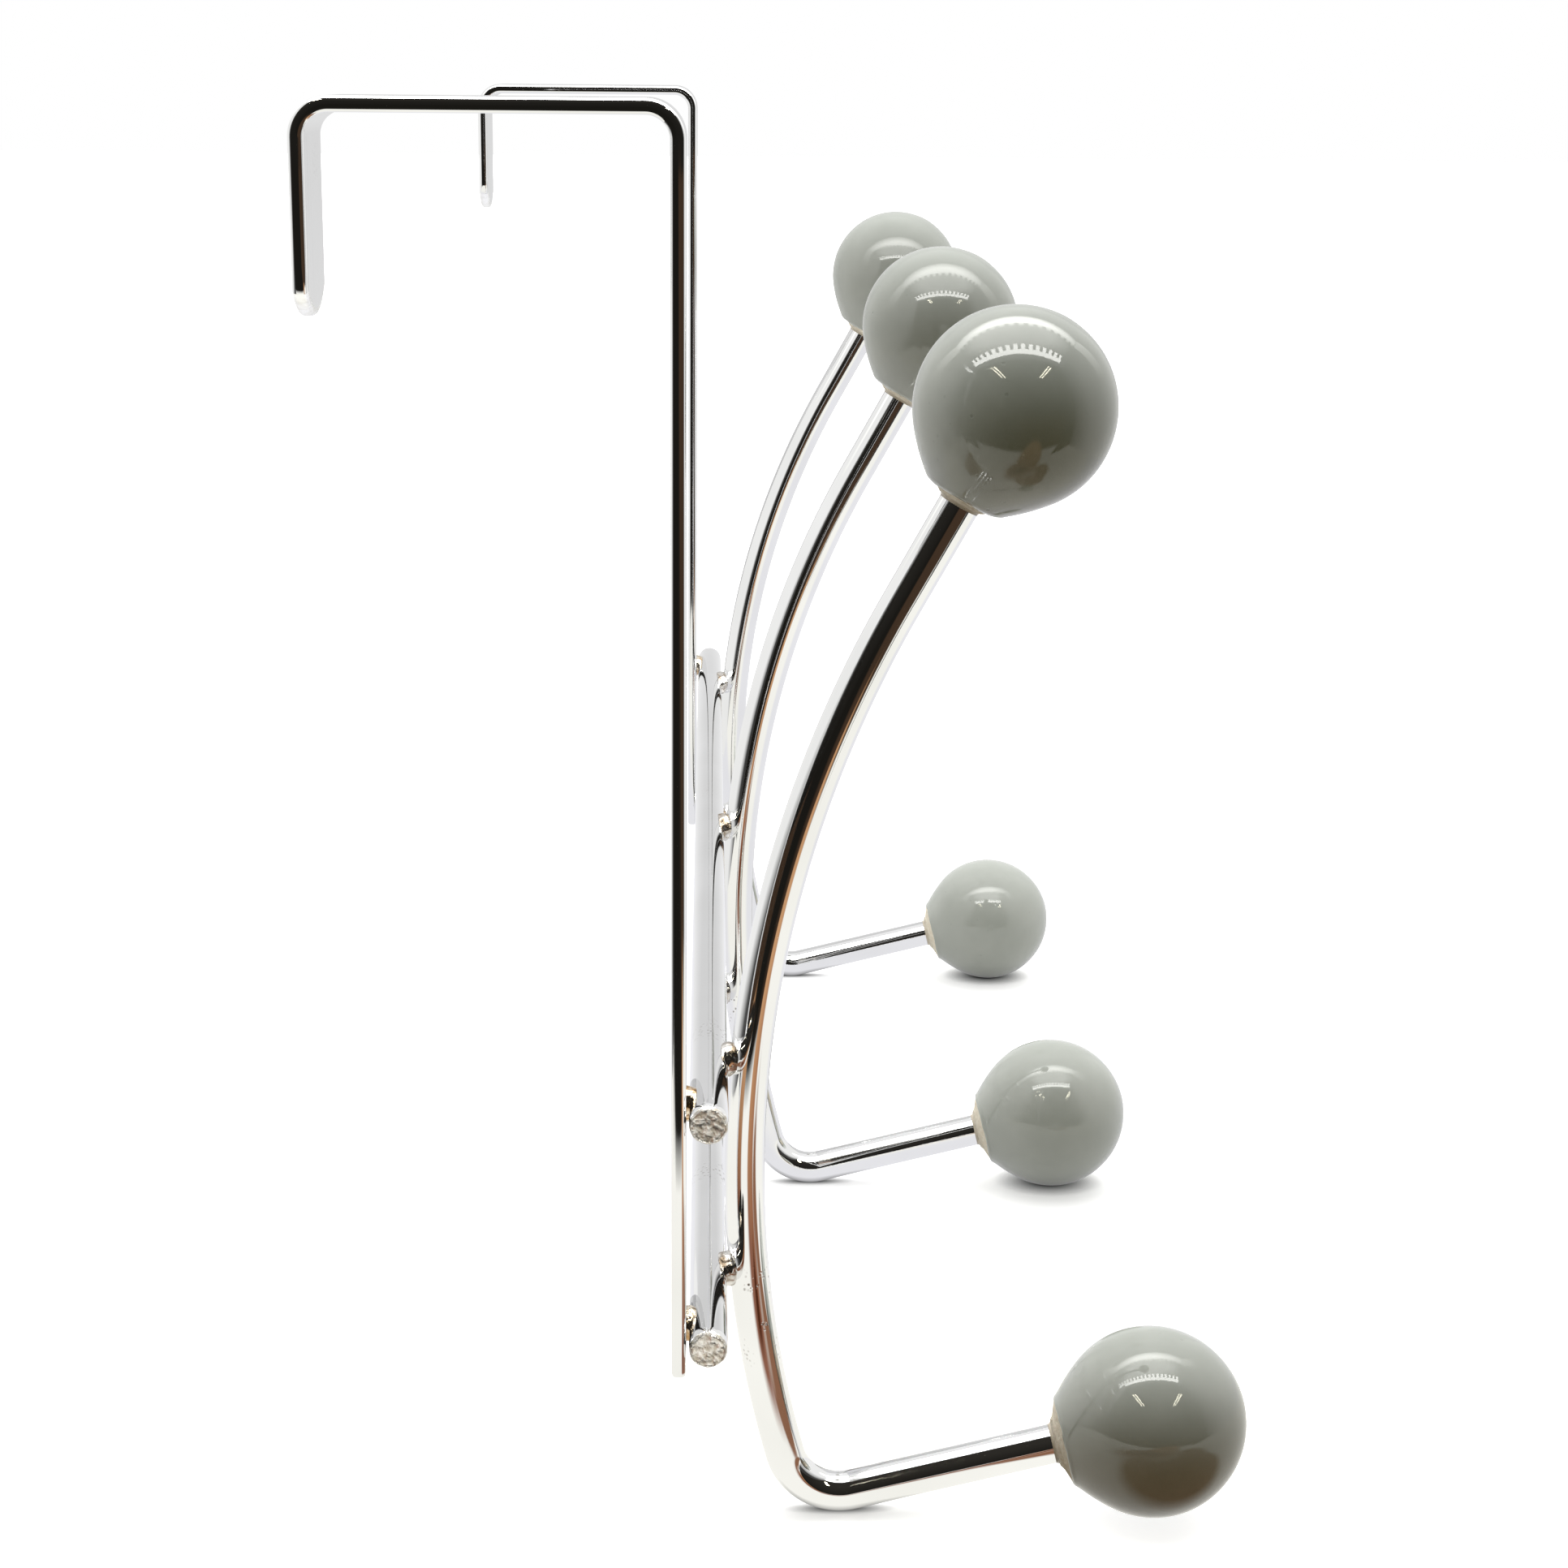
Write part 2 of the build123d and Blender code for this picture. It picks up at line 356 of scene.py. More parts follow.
def arc_points(centre, radius, start, end, step):
    """Points along an arc, without its first one."""
    count = max(8, round(radius * abs(end - start) / step))
    return [on_circle(centre, radius, start + (end - start) * i / count) for i in range(1, count + 1)]


def line_points(start, end, step):
    """Points along a straight run, without its first one."""
    count = max(2, round((end - start).length / step))
    return [start.lerp(end, i / count) for i in range(1, count + 1)]


arm_direction = Vector((0, math.sin(ARM_LEAN), -math.cos(ARM_LEAN)))
prong_direction = Vector((0, -math.cos(PRONG_RISE), math.sin(PRONG_RISE)))
crook_centre = on_circle(sweep_centre, SWEEP_RADIUS - CROOK_RADIUS, -crook_start)
crook_end = -math.pi / 2 - PRONG_RISE
crook_turn = math.degrees(-crook_start - crook_end)
print("long curve centred at", round(sweep_centre.z / MM, 1), "mm, crook turns", round(crook_turn), "degrees")

# %% Where the balls sit
WIRE_END = 5.05 * MM  # from a ball's centre to the end of the wire inside it
STEP_LENGTH = 1.5 * MM

upper_low, upper_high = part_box("left_upper_ball")
lower_low, lower_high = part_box("left_lower_ball")
ball_radius = (upper_high.x - upper_low.x) / 2
upper_ball = Vector((0, upper_low.y + ball_radius, upper_high.z - ball_radius))
lower_ball = Vector((0, lower_low.y + ball_radius, lower_high.z - ball_radius))

wire_line = [upper_ball + arm_direction * WIRE_END]
wire_line += line_points(wire_line[-1], on_circle(sweep_centre, SWEEP_RADIUS, ARM_LEAN), STEP_LENGTH)
wire_line += arc_points(sweep_centre, SWEEP_RADIUS, ARM_LEAN, -crook_start, STEP_LENGTH)
wire_line += arc_points(crook_centre, CROOK_RADIUS, -crook_start, crook_end, STEP_LENGTH / 4)
wire_line += line_points(wire_line[-1], lower_ball - prong_direction * WIRE_END, STEP_LENGTH)
print("wire line has", len(wire_line), "points, ball radius", round(ball_radius / MM, 2), "mm")

# %% [markdown]
# ## The wires
#
# A wire follows a path, so Geometry Nodes are the natural tool: the line goes in as a curve, a circle is
# swept along it, and the tree stores where each point lies on the wire for the drawing marks in the chrome.
# A bevel on the curve would give the same tube, but no place along it. The result is turned into a plain
# mesh.


# %% Helpers for geometry trees
def new_tree(name, sizes):
    """A geometry tree with named inputs. Returns the tree, its input node and its output node."""
    tree = bpy.data.node_groups.new(name, "GeometryNodeTree")
    tree.interface.new_socket("Geometry", in_out="INPUT", socket_type="NodeSocketGeometry")
    for label, kind in sizes.items():
        tree.interface.new_socket(label, in_out="INPUT", socket_type=f"NodeSocket{kind}")
    tree.interface.new_socket("Geometry", in_out="OUTPUT", socket_type="NodeSocketGeometry")
    return tree, tree.nodes.new("NodeGroupInput"), tree.nodes.new("NodeGroupOutput")


def end_tree(tree, out, geometry, material):
    """Every tree ends the same way: real geometry, smooth, with its material."""
    real = add_node(tree, "GeometryNodeRealizeInstances", {"Geometry": geometry})
    smooth = add_node(tree, "GeometryNodeSetShadeSmooth", {"Geometry": real})
    coated = add_node(tree, "GeometryNodeSetMaterial", {"Geometry": smooth, "Material": material})
    feed(out, {"Geometry": coated})


def capture(tree, geometry, kind, label, value):
    """Keep a value with each point of a geometry, as an output with this label."""
    made = add_node(tree, "GeometryNodeCaptureAttribute", {"Geometry": geometry})
    made.capture_items.new(kind, label)
    feed(made, {label: value})
    return made


def place_piece(name, mesh):
    """Put a mesh in the scene as an object at the origin."""
    piece = bpy.data.objects.new(name, mesh)
    bpy.context.scene.collection.objects.link(piece)
    return piece


def run_tree(tree, source, values, name):
    """Run a tree on a curve or mesh, and keep the result as a plain mesh object."""
    base = place_piece(f"{name}_source", source)
    modifier = base.modifiers.new(tree.name, "NODES")
    modifier.node_group = tree
    sockets = {item.name: item.identifier for item in tree.interface.items_tree if item.in_out == "INPUT"}
    for label, value in values.items():
        modifier[sockets[label]] = value
    depsgraph = bpy.context.evaluated_depsgraph_get()
    mesh = bpy.data.meshes.new_from_object(
        base.evaluated_get(depsgraph), preserve_all_data_layers=True, depsgraph=depsgraph
    )
    mesh.name = name
    bpy.data.objects.remove(base)
    return place_piece(name, mesh)


def hang(piece, slot, *nodes):
    """The piece belongs to the rack and stands for these nodes, which are hidden."""
    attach(piece, "root")
    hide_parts(*nodes)


print("geometry helpers ready")

# %% Wire tree
wire_tree, wire_in, wire_out = new_tree(
    "Hook wire", {"Wire diameter": "Float", "Sides": "Int", "Finish": "Material"}
)
wire_half = calculate("MULTIPLY", wire_in.outputs["Wire diameter"], 0.5)
wire_ring = add_node(
    wire_tree,
    "GeometryNodeCurvePrimitiveCircle",
    {"Resolution": wire_in.outputs["Sides"], "Radius": wire_half},
)
ring_place = add_node(wire_tree, "GeometryNodeInputPosition")
ring_points = capture(wire_tree, wire_ring, "VECTOR", "Around", ring_place)
line_place = add_node(wire_tree, "GeometryNodeSplineParameter").outputs["Length"]
line_along = capture(wire_tree, wire_in.outputs["Geometry"], "FLOAT", "Along", line_place)
wire_tube = add_node(
    wire_tree,
    "GeometryNodeCurveToMesh",
    {"Curve": line_along, "Profile Curve": ring_points, "Fill Caps": True},
)
along_vector = add_node(wire_tree, "ShaderNodeCombineXYZ", {"Z": line_along.outputs["Along"]})
wire_place = add_node(
    wire_tree, "ShaderNodeVectorMath", {0: ring_points.outputs["Around"], 1: along_vector}, operation="ADD"
)
wire_marked = add_node(
    wire_tree,
    "GeometryNodeStoreNamedAttribute",
    {"Geometry": wire_tube, "Name": "wire_place", "Value": wire_place},
    data_type="FLOAT_VECTOR",
    domain="POINT",
)
end_tree(wire_tree, wire_out, wire_marked, wire_in.outputs["Finish"])
print("wire tree has", len(wire_tree.nodes), "nodes")

# %% Three hook wires
WIRE_SIDES = 56

wire_sizes = {"Wire diameter": wire_radius * 2, "Sides": WIRE_SIDES, "Finish": chrome_wire}
for hook, hook_x in hook_places.items():
    line = bpy.data.curves.new(f"{hook}_wire_line", "CURVE")
    line.dimensions = "3D"
    spline = line.splines.new("POLY")
    spline.points.add(len(wire_line) - 1)
    for point, place in zip(spline.points, wire_line):
        point.co = (hook_x, place.y, place.z, 1)
    wire = run_tree(wire_tree, line, wire_sizes, f"{hook}_wire")
    hang(wire, "chrome", f"{hook}_hook_wire")
    print(wire.name, "has", len(wire.data.polygons), "faces")

# %% [markdown]
# ## The balls
#
# A ball is turned on a wheel, with a full neck, a low domed foot and a socket for the wire, so its mesh is
# a profile turned round an axis. Spin would do that, but working out each ring lets every ball be a little
# different: the form is slightly uneven, and the glaze ends in a wavy rolled edge above the bare foot. The
# neck is one arc that leaves the sphere without an edge, so its centre lies on the line from the ball's
# centre to where it starts.

# %% Profile of a ball
NECK_ANGLE = math.radians(52.0)
FOOT_EDGE = Vector((5.4, 12.15)) * MM  # radius, and place along the wire from the ball's centre
FOOT_DOME = 0.9 * MM
FOOT_ROUND = 0.16 * MM
SOCKET_RADIUS = 3.0 * MM
SOCKET_DEPTH = 9.0 * MM
BACK_RINGS, NECK_RINGS, FOOT_RINGS = 48, 36, 4
QUARTER = math.pi / 2

socket_mouth = FOOT_EDGE.y + FOOT_DOME
neck_out = Vector((math.sin(NECK_ANGLE), math.cos(NECK_ANGLE)))
neck_start = neck_out * ball_radius
neck_run = FOOT_EDGE - neck_start
neck_curve = -neck_run.length_squared / (2 * neck_run.dot(neck_out))
neck_centre = neck_start - neck_out * neck_curve
neck_turn = (FOOT_EDGE - neck_centre).angle(neck_out)


def turned_point(centre, radius, turn):
    """Point of the profile on an arc, turn from the ball's widest ring."""
    return centre + Vector((math.cos(turn), math.sin(turn))) * radius


ball_profile = []
for i in range(1, BACK_RINGS + 1):
    turn = -QUARTER + (math.pi - NECK_ANGLE) * i / BACK_RINGS
    ball_profile.append(turned_point(Vector((0, 0)), ball_radius, turn))
for i in range(1, NECK_RINGS):
    turn = QUARTER - NECK_ANGLE + neck_turn * i / NECK_RINGS
    ball_profile.append(turned_point(neck_centre, neck_curve, turn))
foot_slope = Vector((SOCKET_RADIUS, socket_mouth)) - FOOT_EDGE
ball_profile.append(FOOT_EDGE + foot_slope.normalized() * FOOT_ROUND)
ball_profile += [FOOT_EDGE + foot_slope * (i / FOOT_RINGS) for i in range(1, FOOT_RINGS + 1)]
ball_profile.append(Vector((SOCKET_RADIUS, socket_mouth - SOCKET_DEPTH)))
print("ball profile has", len(ball_profile), "rings, the neck is an arc of", round(neck_curve / MM, 1), "mm")


# %% Helpers for meshes of rings
def round_turns(sides):
    """Cosine and sine of even turns, once round."""
    turns = [2 * math.pi * i / sides for i in range(sides)]
    return [(math.cos(turn), math.sin(turn)) for turn in turns]


def join_rings(bm, rings):
    """Faces between each ring of points and the next, as one list for each pair of rings."""
    bands = []
    for first, second in zip(rings, rings[1:]):
        after = [*range(1, len(first)), 0]
        bands.append([bm.faces.new((first[i], first[j], second[j], second[i])) for i, j in enumerate(after)])
    return bands


def finish_mesh(bm, name, *materials):
    """Turn all faces outwards, make them smooth and keep them as a piece with these materials."""
    bmesh.ops.recalc_face_normals(bm, faces=bm.faces)
    for face in bm.faces:
        face.smooth = True
    mesh = bpy.data.meshes.new(name)
    bm.to_mesh(mesh)
    bm.free()
    for material in materials:
        mesh.materials.append(material)
    return place_piece(name, mesh)


print("mesh helpers ready")

# %% How a ball is turned
BALL_SIDES = 128
UNEVEN, UNEVEN_PITCH, UNEVEN_FROM = 0.04 * MM, 11 * MM, 3 * MM
GLAZE_THICKNESS = 0.14 * MM
EDGE_FADE = 0.16 * MM
EDGE_ROLL, ROLL_BACK, ROLL_WIDTH = 0.16 * MM, 0.24 * MM, 0.256 * MM  # height, place before the edge, width
ROLL_SHARE = 0.6
BROAD_WAVES, BROAD_DEPTH = 1.6, 0.13 * MM  # of the glaze's edge round the foot
FINE_WAVES, FINE_DEPTH = 5.0, 0.07 * MM
BALL_DRAW = Vector((7.3, 3.1, 5.7))  # step in the noise from one ball to the next


def smooth_step(low, high, value):
    """0 below low, 1 above high and an even slope between."""
    share = min(max((value - low) / (high - low), 0.0), 1.0)
    return share * share * (3 - 2 * share)


def turn_ball(name, centre, towards_wire, glaze_end, seed):
    """A ball with its foot towards the wire, and glaze down to glaze_end from its centre."""
    turned = Vector((0, 0, 1)).rotation_difference(towards_wire)
    bm = bmesh.new()
    bare = bm.verts.layers.float.new("bare")
    lump = BALL_DRAW * seed
    rings = []
    for radius, offset in ball_profile:
        in_socket = radius < SOCKET_RADIUS + FOOT_ROUND and offset > 0
        ring = []
        for cosine, sine in round_turns(BALL_SIDES):
            out = Vector((cosine, sine, 0))
            point = out * radius + Vector((0, 0, offset))
            wave = noise.noise(out * BROAD_WAVES + lump) * BROAD_DEPTH
            wave += noise.noise(out * FINE_WAVES - lump) * FINE_DEPTH
            edge = glaze_end + wave
            bare_here = 1.0
            if not in_socket:
                bare_here = smooth_step(edge - EDGE_FADE / 2, edge + EDGE_FADE / 2, offset)
                roll = math.exp(-(((offset - edge + ROLL_BACK) / ROLL_WIDTH) ** 2)) * EDGE_ROLL
                hollow = (noise.noise(point / UNEVEN_PITCH + lump) - 1.0) * UNEVEN
                lift = hollow * smooth_step(0, UNEVEN_FROM, radius)
                lift += roll * (ROLL_SHARE + wave / MM) - GLAZE_THICKNESS * bare_here
                point = point + point.normalized() * lift
            vert = bm.verts.new(centre + turned @ point)
            vert[bare] = bare_here
            ring.append(vert)
        rings.append(ring)
    join_rings(bm, rings)
    top = bm.verts.new(centre + turned @ Vector((0, 0, -ball_radius)))
    bottom = bm.verts.new(centre + turned @ Vector((0, 0, ball_profile[-1].y)))
    bottom[bare] = 1.0
    for i in range(BALL_SIDES):
        j = (i + 1) % BALL_SIDES
        bm.faces.new((top, rings[0][j], rings[0][i]))
        bm.faces.new((bottom, rings[-1][i], rings[-1][j]))
    return finish_mesh(bm, name, glazed_ceramic)


print("a ball has", len(ball_profile), "rings of", BALL_SIDES, "points")

# %% Six balls
UPPER_GLAZE_END, LOWER_GLAZE_END = 12.60 * MM, 12.00 * MM

for number, (hook, hook_x) in enumerate(hook_places.items()):
    for level, middle, towards_wire, glaze_end, seed in (
        ("upper", upper_ball, arm_direction, UPPER_GLAZE_END, number + 1),
        ("lower", lower_ball, -prong_direction, LOWER_GLAZE_END, number + 4),
    ):
        centre = middle + Vector((hook_x, 0, 0))
        ball = turn_ball(f"{hook}_{level}_bead", centre, towards_wire, glaze_end, seed)
        hang(ball, "glaze", f"{hook}_{level}_ball")
print("six balls of", len(ball.data.polygons), "faces")

# %% [markdown]
# ## The glue
#
# The balls are glued on. All that shows of the glue is a small fillet round the wire at each socket. The
# six are alike and sit at known places, so Geometry Nodes put one turned ring on six points, each turned to
# its wire.

# %% Tree that puts a ring on points
rings_tree, rings_in, rings_out = new_tree("Glue rings", {"Ring": "Object", "Finish": "Material"})
towards = add_node(
    rings_tree, "GeometryNodeInputNamedAttribute", {"Name": "towards_wire"}, data_type="FLOAT_VECTOR"
)
facing = add_node(
    rings_tree, "FunctionNodeAlignRotationToVector", {"Vector": towards.outputs["Attribute"]}, axis="Z"
)
ring_shape = add_node(rings_tree, "GeometryNodeObjectInfo", {"Object": rings_in.outputs["Ring"]})
ring_inputs = {
    "Points": rings_in.outputs["Geometry"],
    "Instance": ring_shape.outputs["Geometry"],
    "Rotation": facing,
}
glue_rings = add_node(rings_tree, "GeometryNodeInstanceOnPoints", ring_inputs)
end_tree(rings_tree, rings_out, glue_rings, rings_in.outputs["Finish"])
print("ring tree has", len(rings_tree.nodes), "nodes")

# %% Glue rings
GLUE_FILLET = 0.45 * MM
GLUE_SIT = 0.02 * MM  # below the socket's mouth
RING_SIDES = 64
FILLET_STEPS = 6

ring_profile = [(SOCKET_RADIUS, socket_mouth - SOCKET_DEPTH), (SOCKET_RADIUS, socket_mouth - GLUE_SIT)]
for i in range(1, FILLET_STEPS + 1):
    turn = QUARTER * i / FILLET_STEPS
    fillet_radius = wire_radius + (SOCKET_RADIUS - wire_radius) * (1 - math.sin(turn))
    ring_profile.append((fillet_radius, socket_mouth - GLUE_SIT + GLUE_FILLET * (1 - math.cos(turn))))
ring_profile.append((wire_radius, WIRE_END))
ring_bm = bmesh.new()
ring_turns = round_turns(RING_SIDES)
ring_loops = []
for radius, height in ring_profile:
    ring_loops.append([ring_bm.verts.new((radius * c, radius * s, height)) for c, s in ring_turns])
join_rings(ring_bm, ring_loops)
ring_bm.faces.new(ring_loops[0])
ring_bm.faces.new(ring_loops[-1])
ring = finish_mesh(ring_bm, "glue_ring")

glue_points = bpy.data.meshes.new("glue_points")
glue_places = [(upper_ball + Vector((x, 0, 0)), arm_direction) for x in hook_places.values()]
glue_places += [(lower_ball + Vector((x, 0, 0)), -prong_direction) for x in hook_places.values()]
glue_points.from_pydata([place for place, _ in glue_places], [], [])
glue_turns = glue_points.attributes.new("towards_wire", "FLOAT_VECTOR", "POINT")
for item, (_, direction) in zip(glue_turns.data, glue_places):
    item.vector = direction
glue = run_tree(rings_tree, glue_points, {"Ring": ring, "Finish": cured_glue}, "glue_fillets")
bpy.data.objects.remove(ring)
hang(glue, "adhesive", "ball_adhesive")
print("glue has", len(glue.data.polygons), "faces")

# %% [markdown]
# ## The door brackets
#
# A bracket starts as a flat blank of strip: square at the strap's end, crowned at the lip's end, with
# rounded edges. Then it is folded twice. The mesh is made the same way. The blank's outline is drawn once,
# moved inwards for the rounded edge, and every point is folded along the line of the strip. A swept profile
# couldn't end in a crown.

# %% Fold line of the strip
STRIP_THICKNESS = 1.8 * MM
BEND_RADIUS = 2.7 * MM
LIP_DROP = 22.6 * MM

strip_low, strip_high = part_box("left_door_bracket")
strip_half = (strip_high.x - strip_low.x) / 2
bend_middle = BEND_RADIUS + STRIP_THICKNESS / 2
bend_length = bend_middle * QUARTER
bend_z = strip_high.z - STRIP_THICKNESS - BEND_RADIUS
front_bend_y = strip_low.y + STRIP_THICKNESS + BEND_RADIUS
back_bend_y = strip_high.y - STRIP_THICKNESS - BEND_RADIUS
strap_length = bend_z - strip_low.z
top_length = back_bend_y - front_bend_y
lip_length = LIP_DROP + bend_z
strip_length = strap_length + top_length + lip_length + 2 * bend_length


def fold(along, across, height):
    """Place of a point of the flat blank after both bends."""
    run = along - strap_length
    if run <= 0:
        return Vector((across, strip_low.y + STRIP_THICKNESS / 2 - height, bend_z + run))
    reach = bend_middle + height
    if run <= bend_length:
        turn = run / bend_middle
        return Vector((across, front_bend_y - math.cos(turn) * reach, bend_z + math.sin(turn) * reach))
    run -= bend_length
    if run <= top_length:
        return Vector((across, front_bend_y + run, strip_high.z - STRIP_THICKNESS / 2 + height))
    run -= top_length
    if run <= bend_length:
        turn = run / bend_middle
        return Vector((across, back_bend_y + math.sin(turn) * reach, bend_z + math.cos(turn) * reach))
    run -= bend_length
    return Vector((across, strip_high.y - STRIP_THICKNESS / 2 + height, bend_z - run))


print("blank is", round(strip_length / MM, 1), "mm long and", round(strip_half * 2 / MM, 1), "mm wide")

# %% Outline of the blank
STRAP_CORNER = 1.0 * MM
LIP_CROWN = 3.0 * MM
STRAP_STEP = 4.0 * MM
BEND_STEPS, TOP_STEPS, LIP_STEPS, CROWN_STEPS, ROUND_STEPS = 20, 12, 6, 14, 6

crown_circle = (strip_half**2 + LIP_CROWN**2) / (2 * LIP_CROWN)
crown_centre = strip_length - crown_circle
strap_steps = int((strap_length - STRAP_CORNER) / STRAP_STEP)
first_bend_marks = [strap_length + bend_length * i / BEND_STEPS for i in range(BEND_STEPS + 1)]
side_marks = [STRAP_CORNER + STRAP_STEP * i for i in range(1, strap_steps)] + first_bend_marks
side_marks += [strap_length + bend_length + top_length * i / TOP_STEPS for i in range(1, TOP_STEPS)]
side_marks += [mark + bend_length + top_length for mark in first_bend_marks]


def blank_side(inset):
    """One side of the blank, moved inwards, from the strap's end to the middle of the lip's crown."""
    corner = STRAP_CORNER - inset
    half = strip_half - inset
    side = []
    for i in range(ROUND_STEPS + 1):
        turn = QUARTER * i / ROUND_STEPS
        side.append((STRAP_CORNER - corner * math.cos(turn), half - corner * (1 - math.sin(turn))))
    side += [(mark, half) for mark in side_marks]
    crown_start = crown_centre + math.sqrt((crown_circle - inset) ** 2 - half**2)
    lip_step = (crown_start - side_marks[-1]) / LIP_STEPS
    side += [(side_marks[-1] + lip_step * i, half) for i in range(1, LIP_STEPS + 1)]
    for i in range(1, CROWN_STEPS + 1):
        across = half * math.cos(QUARTER * i / CROWN_STEPS)
        side.append((crown_centre + math.sqrt((crown_circle - inset) ** 2 - across**2), across))
    return side


print("one side of the blank has", len(blank_side(0)), "points")

# %% Two folded brackets
EDGE_FLAT = 0.6 * MM
EDGE_MARGIN = 0.35 * MM  # flat strip beside the rounded edge
SIDES = ("left", "right")

edge_radius = (STRIP_THICKNESS - EDGE_FLAT) / 2
edge_profile = [(edge_radius + EDGE_MARGIN, STRIP_THICKNESS / 2)]
for i in range(ROUND_STEPS + 1):
    turn = QUARTER * i / ROUND_STEPS
    edge_profile.append((edge_radius * (1 - math.sin(turn)), EDGE_FLAT / 2 + edge_radius * math.cos(turn)))
edge_profile += [(inset, -height) for inset, height in reversed(edge_profile)]


def bend_strip(name, middle_x):
    """A bracket: the blank's outline at each level of its rounded edge, folded and filled in rows."""
    bm = bmesh.new()
    levels = []
    for inset, height in edge_profile:
        side = blank_side(inset)
        outline = side + [(along, -across) for along, across in reversed(side[:-1])]
        levels.append([bm.verts.new(fold(along, middle_x + across, height)) for along, across in outline])
    count = len(outline)
    lip_start = len(side) - CROWN_STEPS
    for band in join_rings(bm, levels):
        for face in band[lip_start:count - lip_start] + band[-1:]:
            face.material_index = 1
    for level in (levels[0], levels[-1]):
        for i in range(len(side) - 1):
            corners = [level[i], level[i + 1], level[count - 2 - i], level[count - 1 - i]]
            bm.faces.new(list(dict.fromkeys(corners)))
    return finish_mesh(bm, name, chrome_strip, lip_steel)


bracket_places = {side: middle_of(f"{side}_door_bracket").x for side in SIDES}
for side, bracket_x in bracket_places.items():
    bracket = bend_strip(f"{side}_bracket", bracket_x)
    hang(bracket, "chrome", f"{side}_door_bracket")
    print(bracket.name, "has", len(bracket.data.polygons), "faces")

# %% [markdown]
# ## The cross bars
#
# A bar is round and straight, and a cylinder would nearly do. But its ends face the camera, and they were
# sheared: the face is torn and a little uneven, and its rim isn't a true circle. So the bar is made of
# rings along its length, and the rings of its ends are pushed about by noise before the face is closed.

# %% Two sheared bars
BAR_SIDES = 64
BAR_STEPS = 40
BAR_PLAIN_FROM = 2 * MM  # from a bar's end
END_CHAMFER = 0.3 * MM
END_RELIEF = 0.16 * MM
END_SHARES = (0.2, 0.4, 0.6, 0.78, 0.9)  # of the radius, for the rings of an end's face
END_WAVES, END_FINER, END_FINE_SHARE = 2.2, 2.9, 0.4  # of the torn face
RIM_WAVES, RIM_DEPTH = 1.7, 0.22 * END_CHAMFER
END_DRAW = 40 * MM  # length that stands for one step in the noise
BAR_DRAW = Vector((4.1, 2.3, 6.7))  # step in the noise from one bar to the next


def shear_bar(name, height, half_length, seed):
    """A round bar with torn ends."""
    bm = bmesh.new()
    lump = BAR_DRAW * seed
    end_rows = [(-half_length, share) for share in END_SHARES]
    end_rows += [(-half_length, 1 - END_CHAMFER / bar_radius), (-half_length + END_CHAMFER, 1.0)]
    plain_half = half_length - BAR_PLAIN_FROM
    rows = end_rows + [(plain_half * (2 * i / BAR_STEPS - 1), 1.0) for i in range(BAR_STEPS + 1)]
    rows += [(-x, share) for x, share in reversed(end_rows)]
    rings = []
    for x, share in rows:
        ring = []
        for cosine, sine in round_turns(BAR_SIDES):
            out = Vector((0, cosine, sine))
            reach, depth = bar_radius * share, 0.0
            if abs(x) > plain_half + MM:
                spot = out * share * END_WAVES + lump + Vector((x / END_DRAW, 0, 0))
                torn = noise.noise(spot) * (1 - END_FINE_SHARE)
                torn += noise.noise(spot * END_FINER) * END_FINE_SHARE
                depth = (torn - 1.0) * END_RELIEF
                reach -= (noise.noise(out * RIM_WAVES - lump) + 1.0) * RIM_DEPTH * share**4
            place = (x - math.copysign(depth, x), bar_y + out.y * reach, height + out.z * reach)
            ring.append(bm.verts.new(place))
        rings.append(ring)
    join_rings(bm, rings)
    bm.faces.new(rings[0])
    bm.faces.new(rings[-1])
    for face in bm.faces:
        if abs(face.calc_center_median().x) > half_length - END_CHAMFER * 1.5:
            face.material_index = 1
    return finish_mesh(bm, name, chrome_strip, sheared_steel)


for seed, (level, bar_height) in enumerate(zip(LEVELS, bar_heights)):
    bar = shear_bar(f"{level}_bar", bar_height, bar_high.x, seed + 1)
    hang(bar, "chrome", f"{level}_cross_bar")
    print(bar.name, "has", len(bar.data.polygons), "faces")

# %% [markdown]
# ## The welds
#
# Where a wire crosses a bar, and where a bar meets a strap, the two were fused, and a small bead of metal
# stands in the corner. Ten beads in two sizes are a job for instances again, with one bead on each point.
# The tree pushes the realized beads about with noise of a fixed seed, which differs from place to place, so
# no two are alike. It also holds them in front of the middle of the strip, or they would show on the backs
# of the straps.

# %% Weld tree
BEAD_GRAIN = 420.0  # lumps per metre

weld_inputs = {
    "Bead diameter": "Float",
    "Lumps": "Float",
    "Seed": "Float",
    "Back limit": "Float",
    "Finish": "Material",
}
weld_tree, weld_in, weld_out = new_tree("Weld beads", weld_inputs)
weld_half = calculate("MULTIPLY", weld_in.outputs["Bead diameter"], 0.5)
bead_shape = add_node(weld_tree, "GeometryNodeMeshIcoSphere", {"Radius": weld_half, "Subdivisions": 5})
beads = add_node(
    weld_tree,
    "GeometryNodeInstanceOnPoints",
    {"Points": weld_in.outputs["Geometry"], "Instance": bead_shape},
)
real_beads = add_node(weld_tree, "GeometryNodeRealizeInstances", {"Geometry": beads})
bead_place = add_node(weld_tree, "GeometryNodeInputPosition")
bead_noise = add_node(
    weld_tree,
    "ShaderNodeTexNoise",
    {"Vector": bead_place, "W": weld_in.outputs["Seed"], "Scale": BEAD_GRAIN, "Detail": 2.0},
    noise_dimensions="4D",
)
bead_push = calculate("MULTIPLY", bead_noise.outputs["Fac"], weld_in.outputs["Lumps"])
bead_normal = add_node(weld_tree, "GeometryNodeInputNormal")
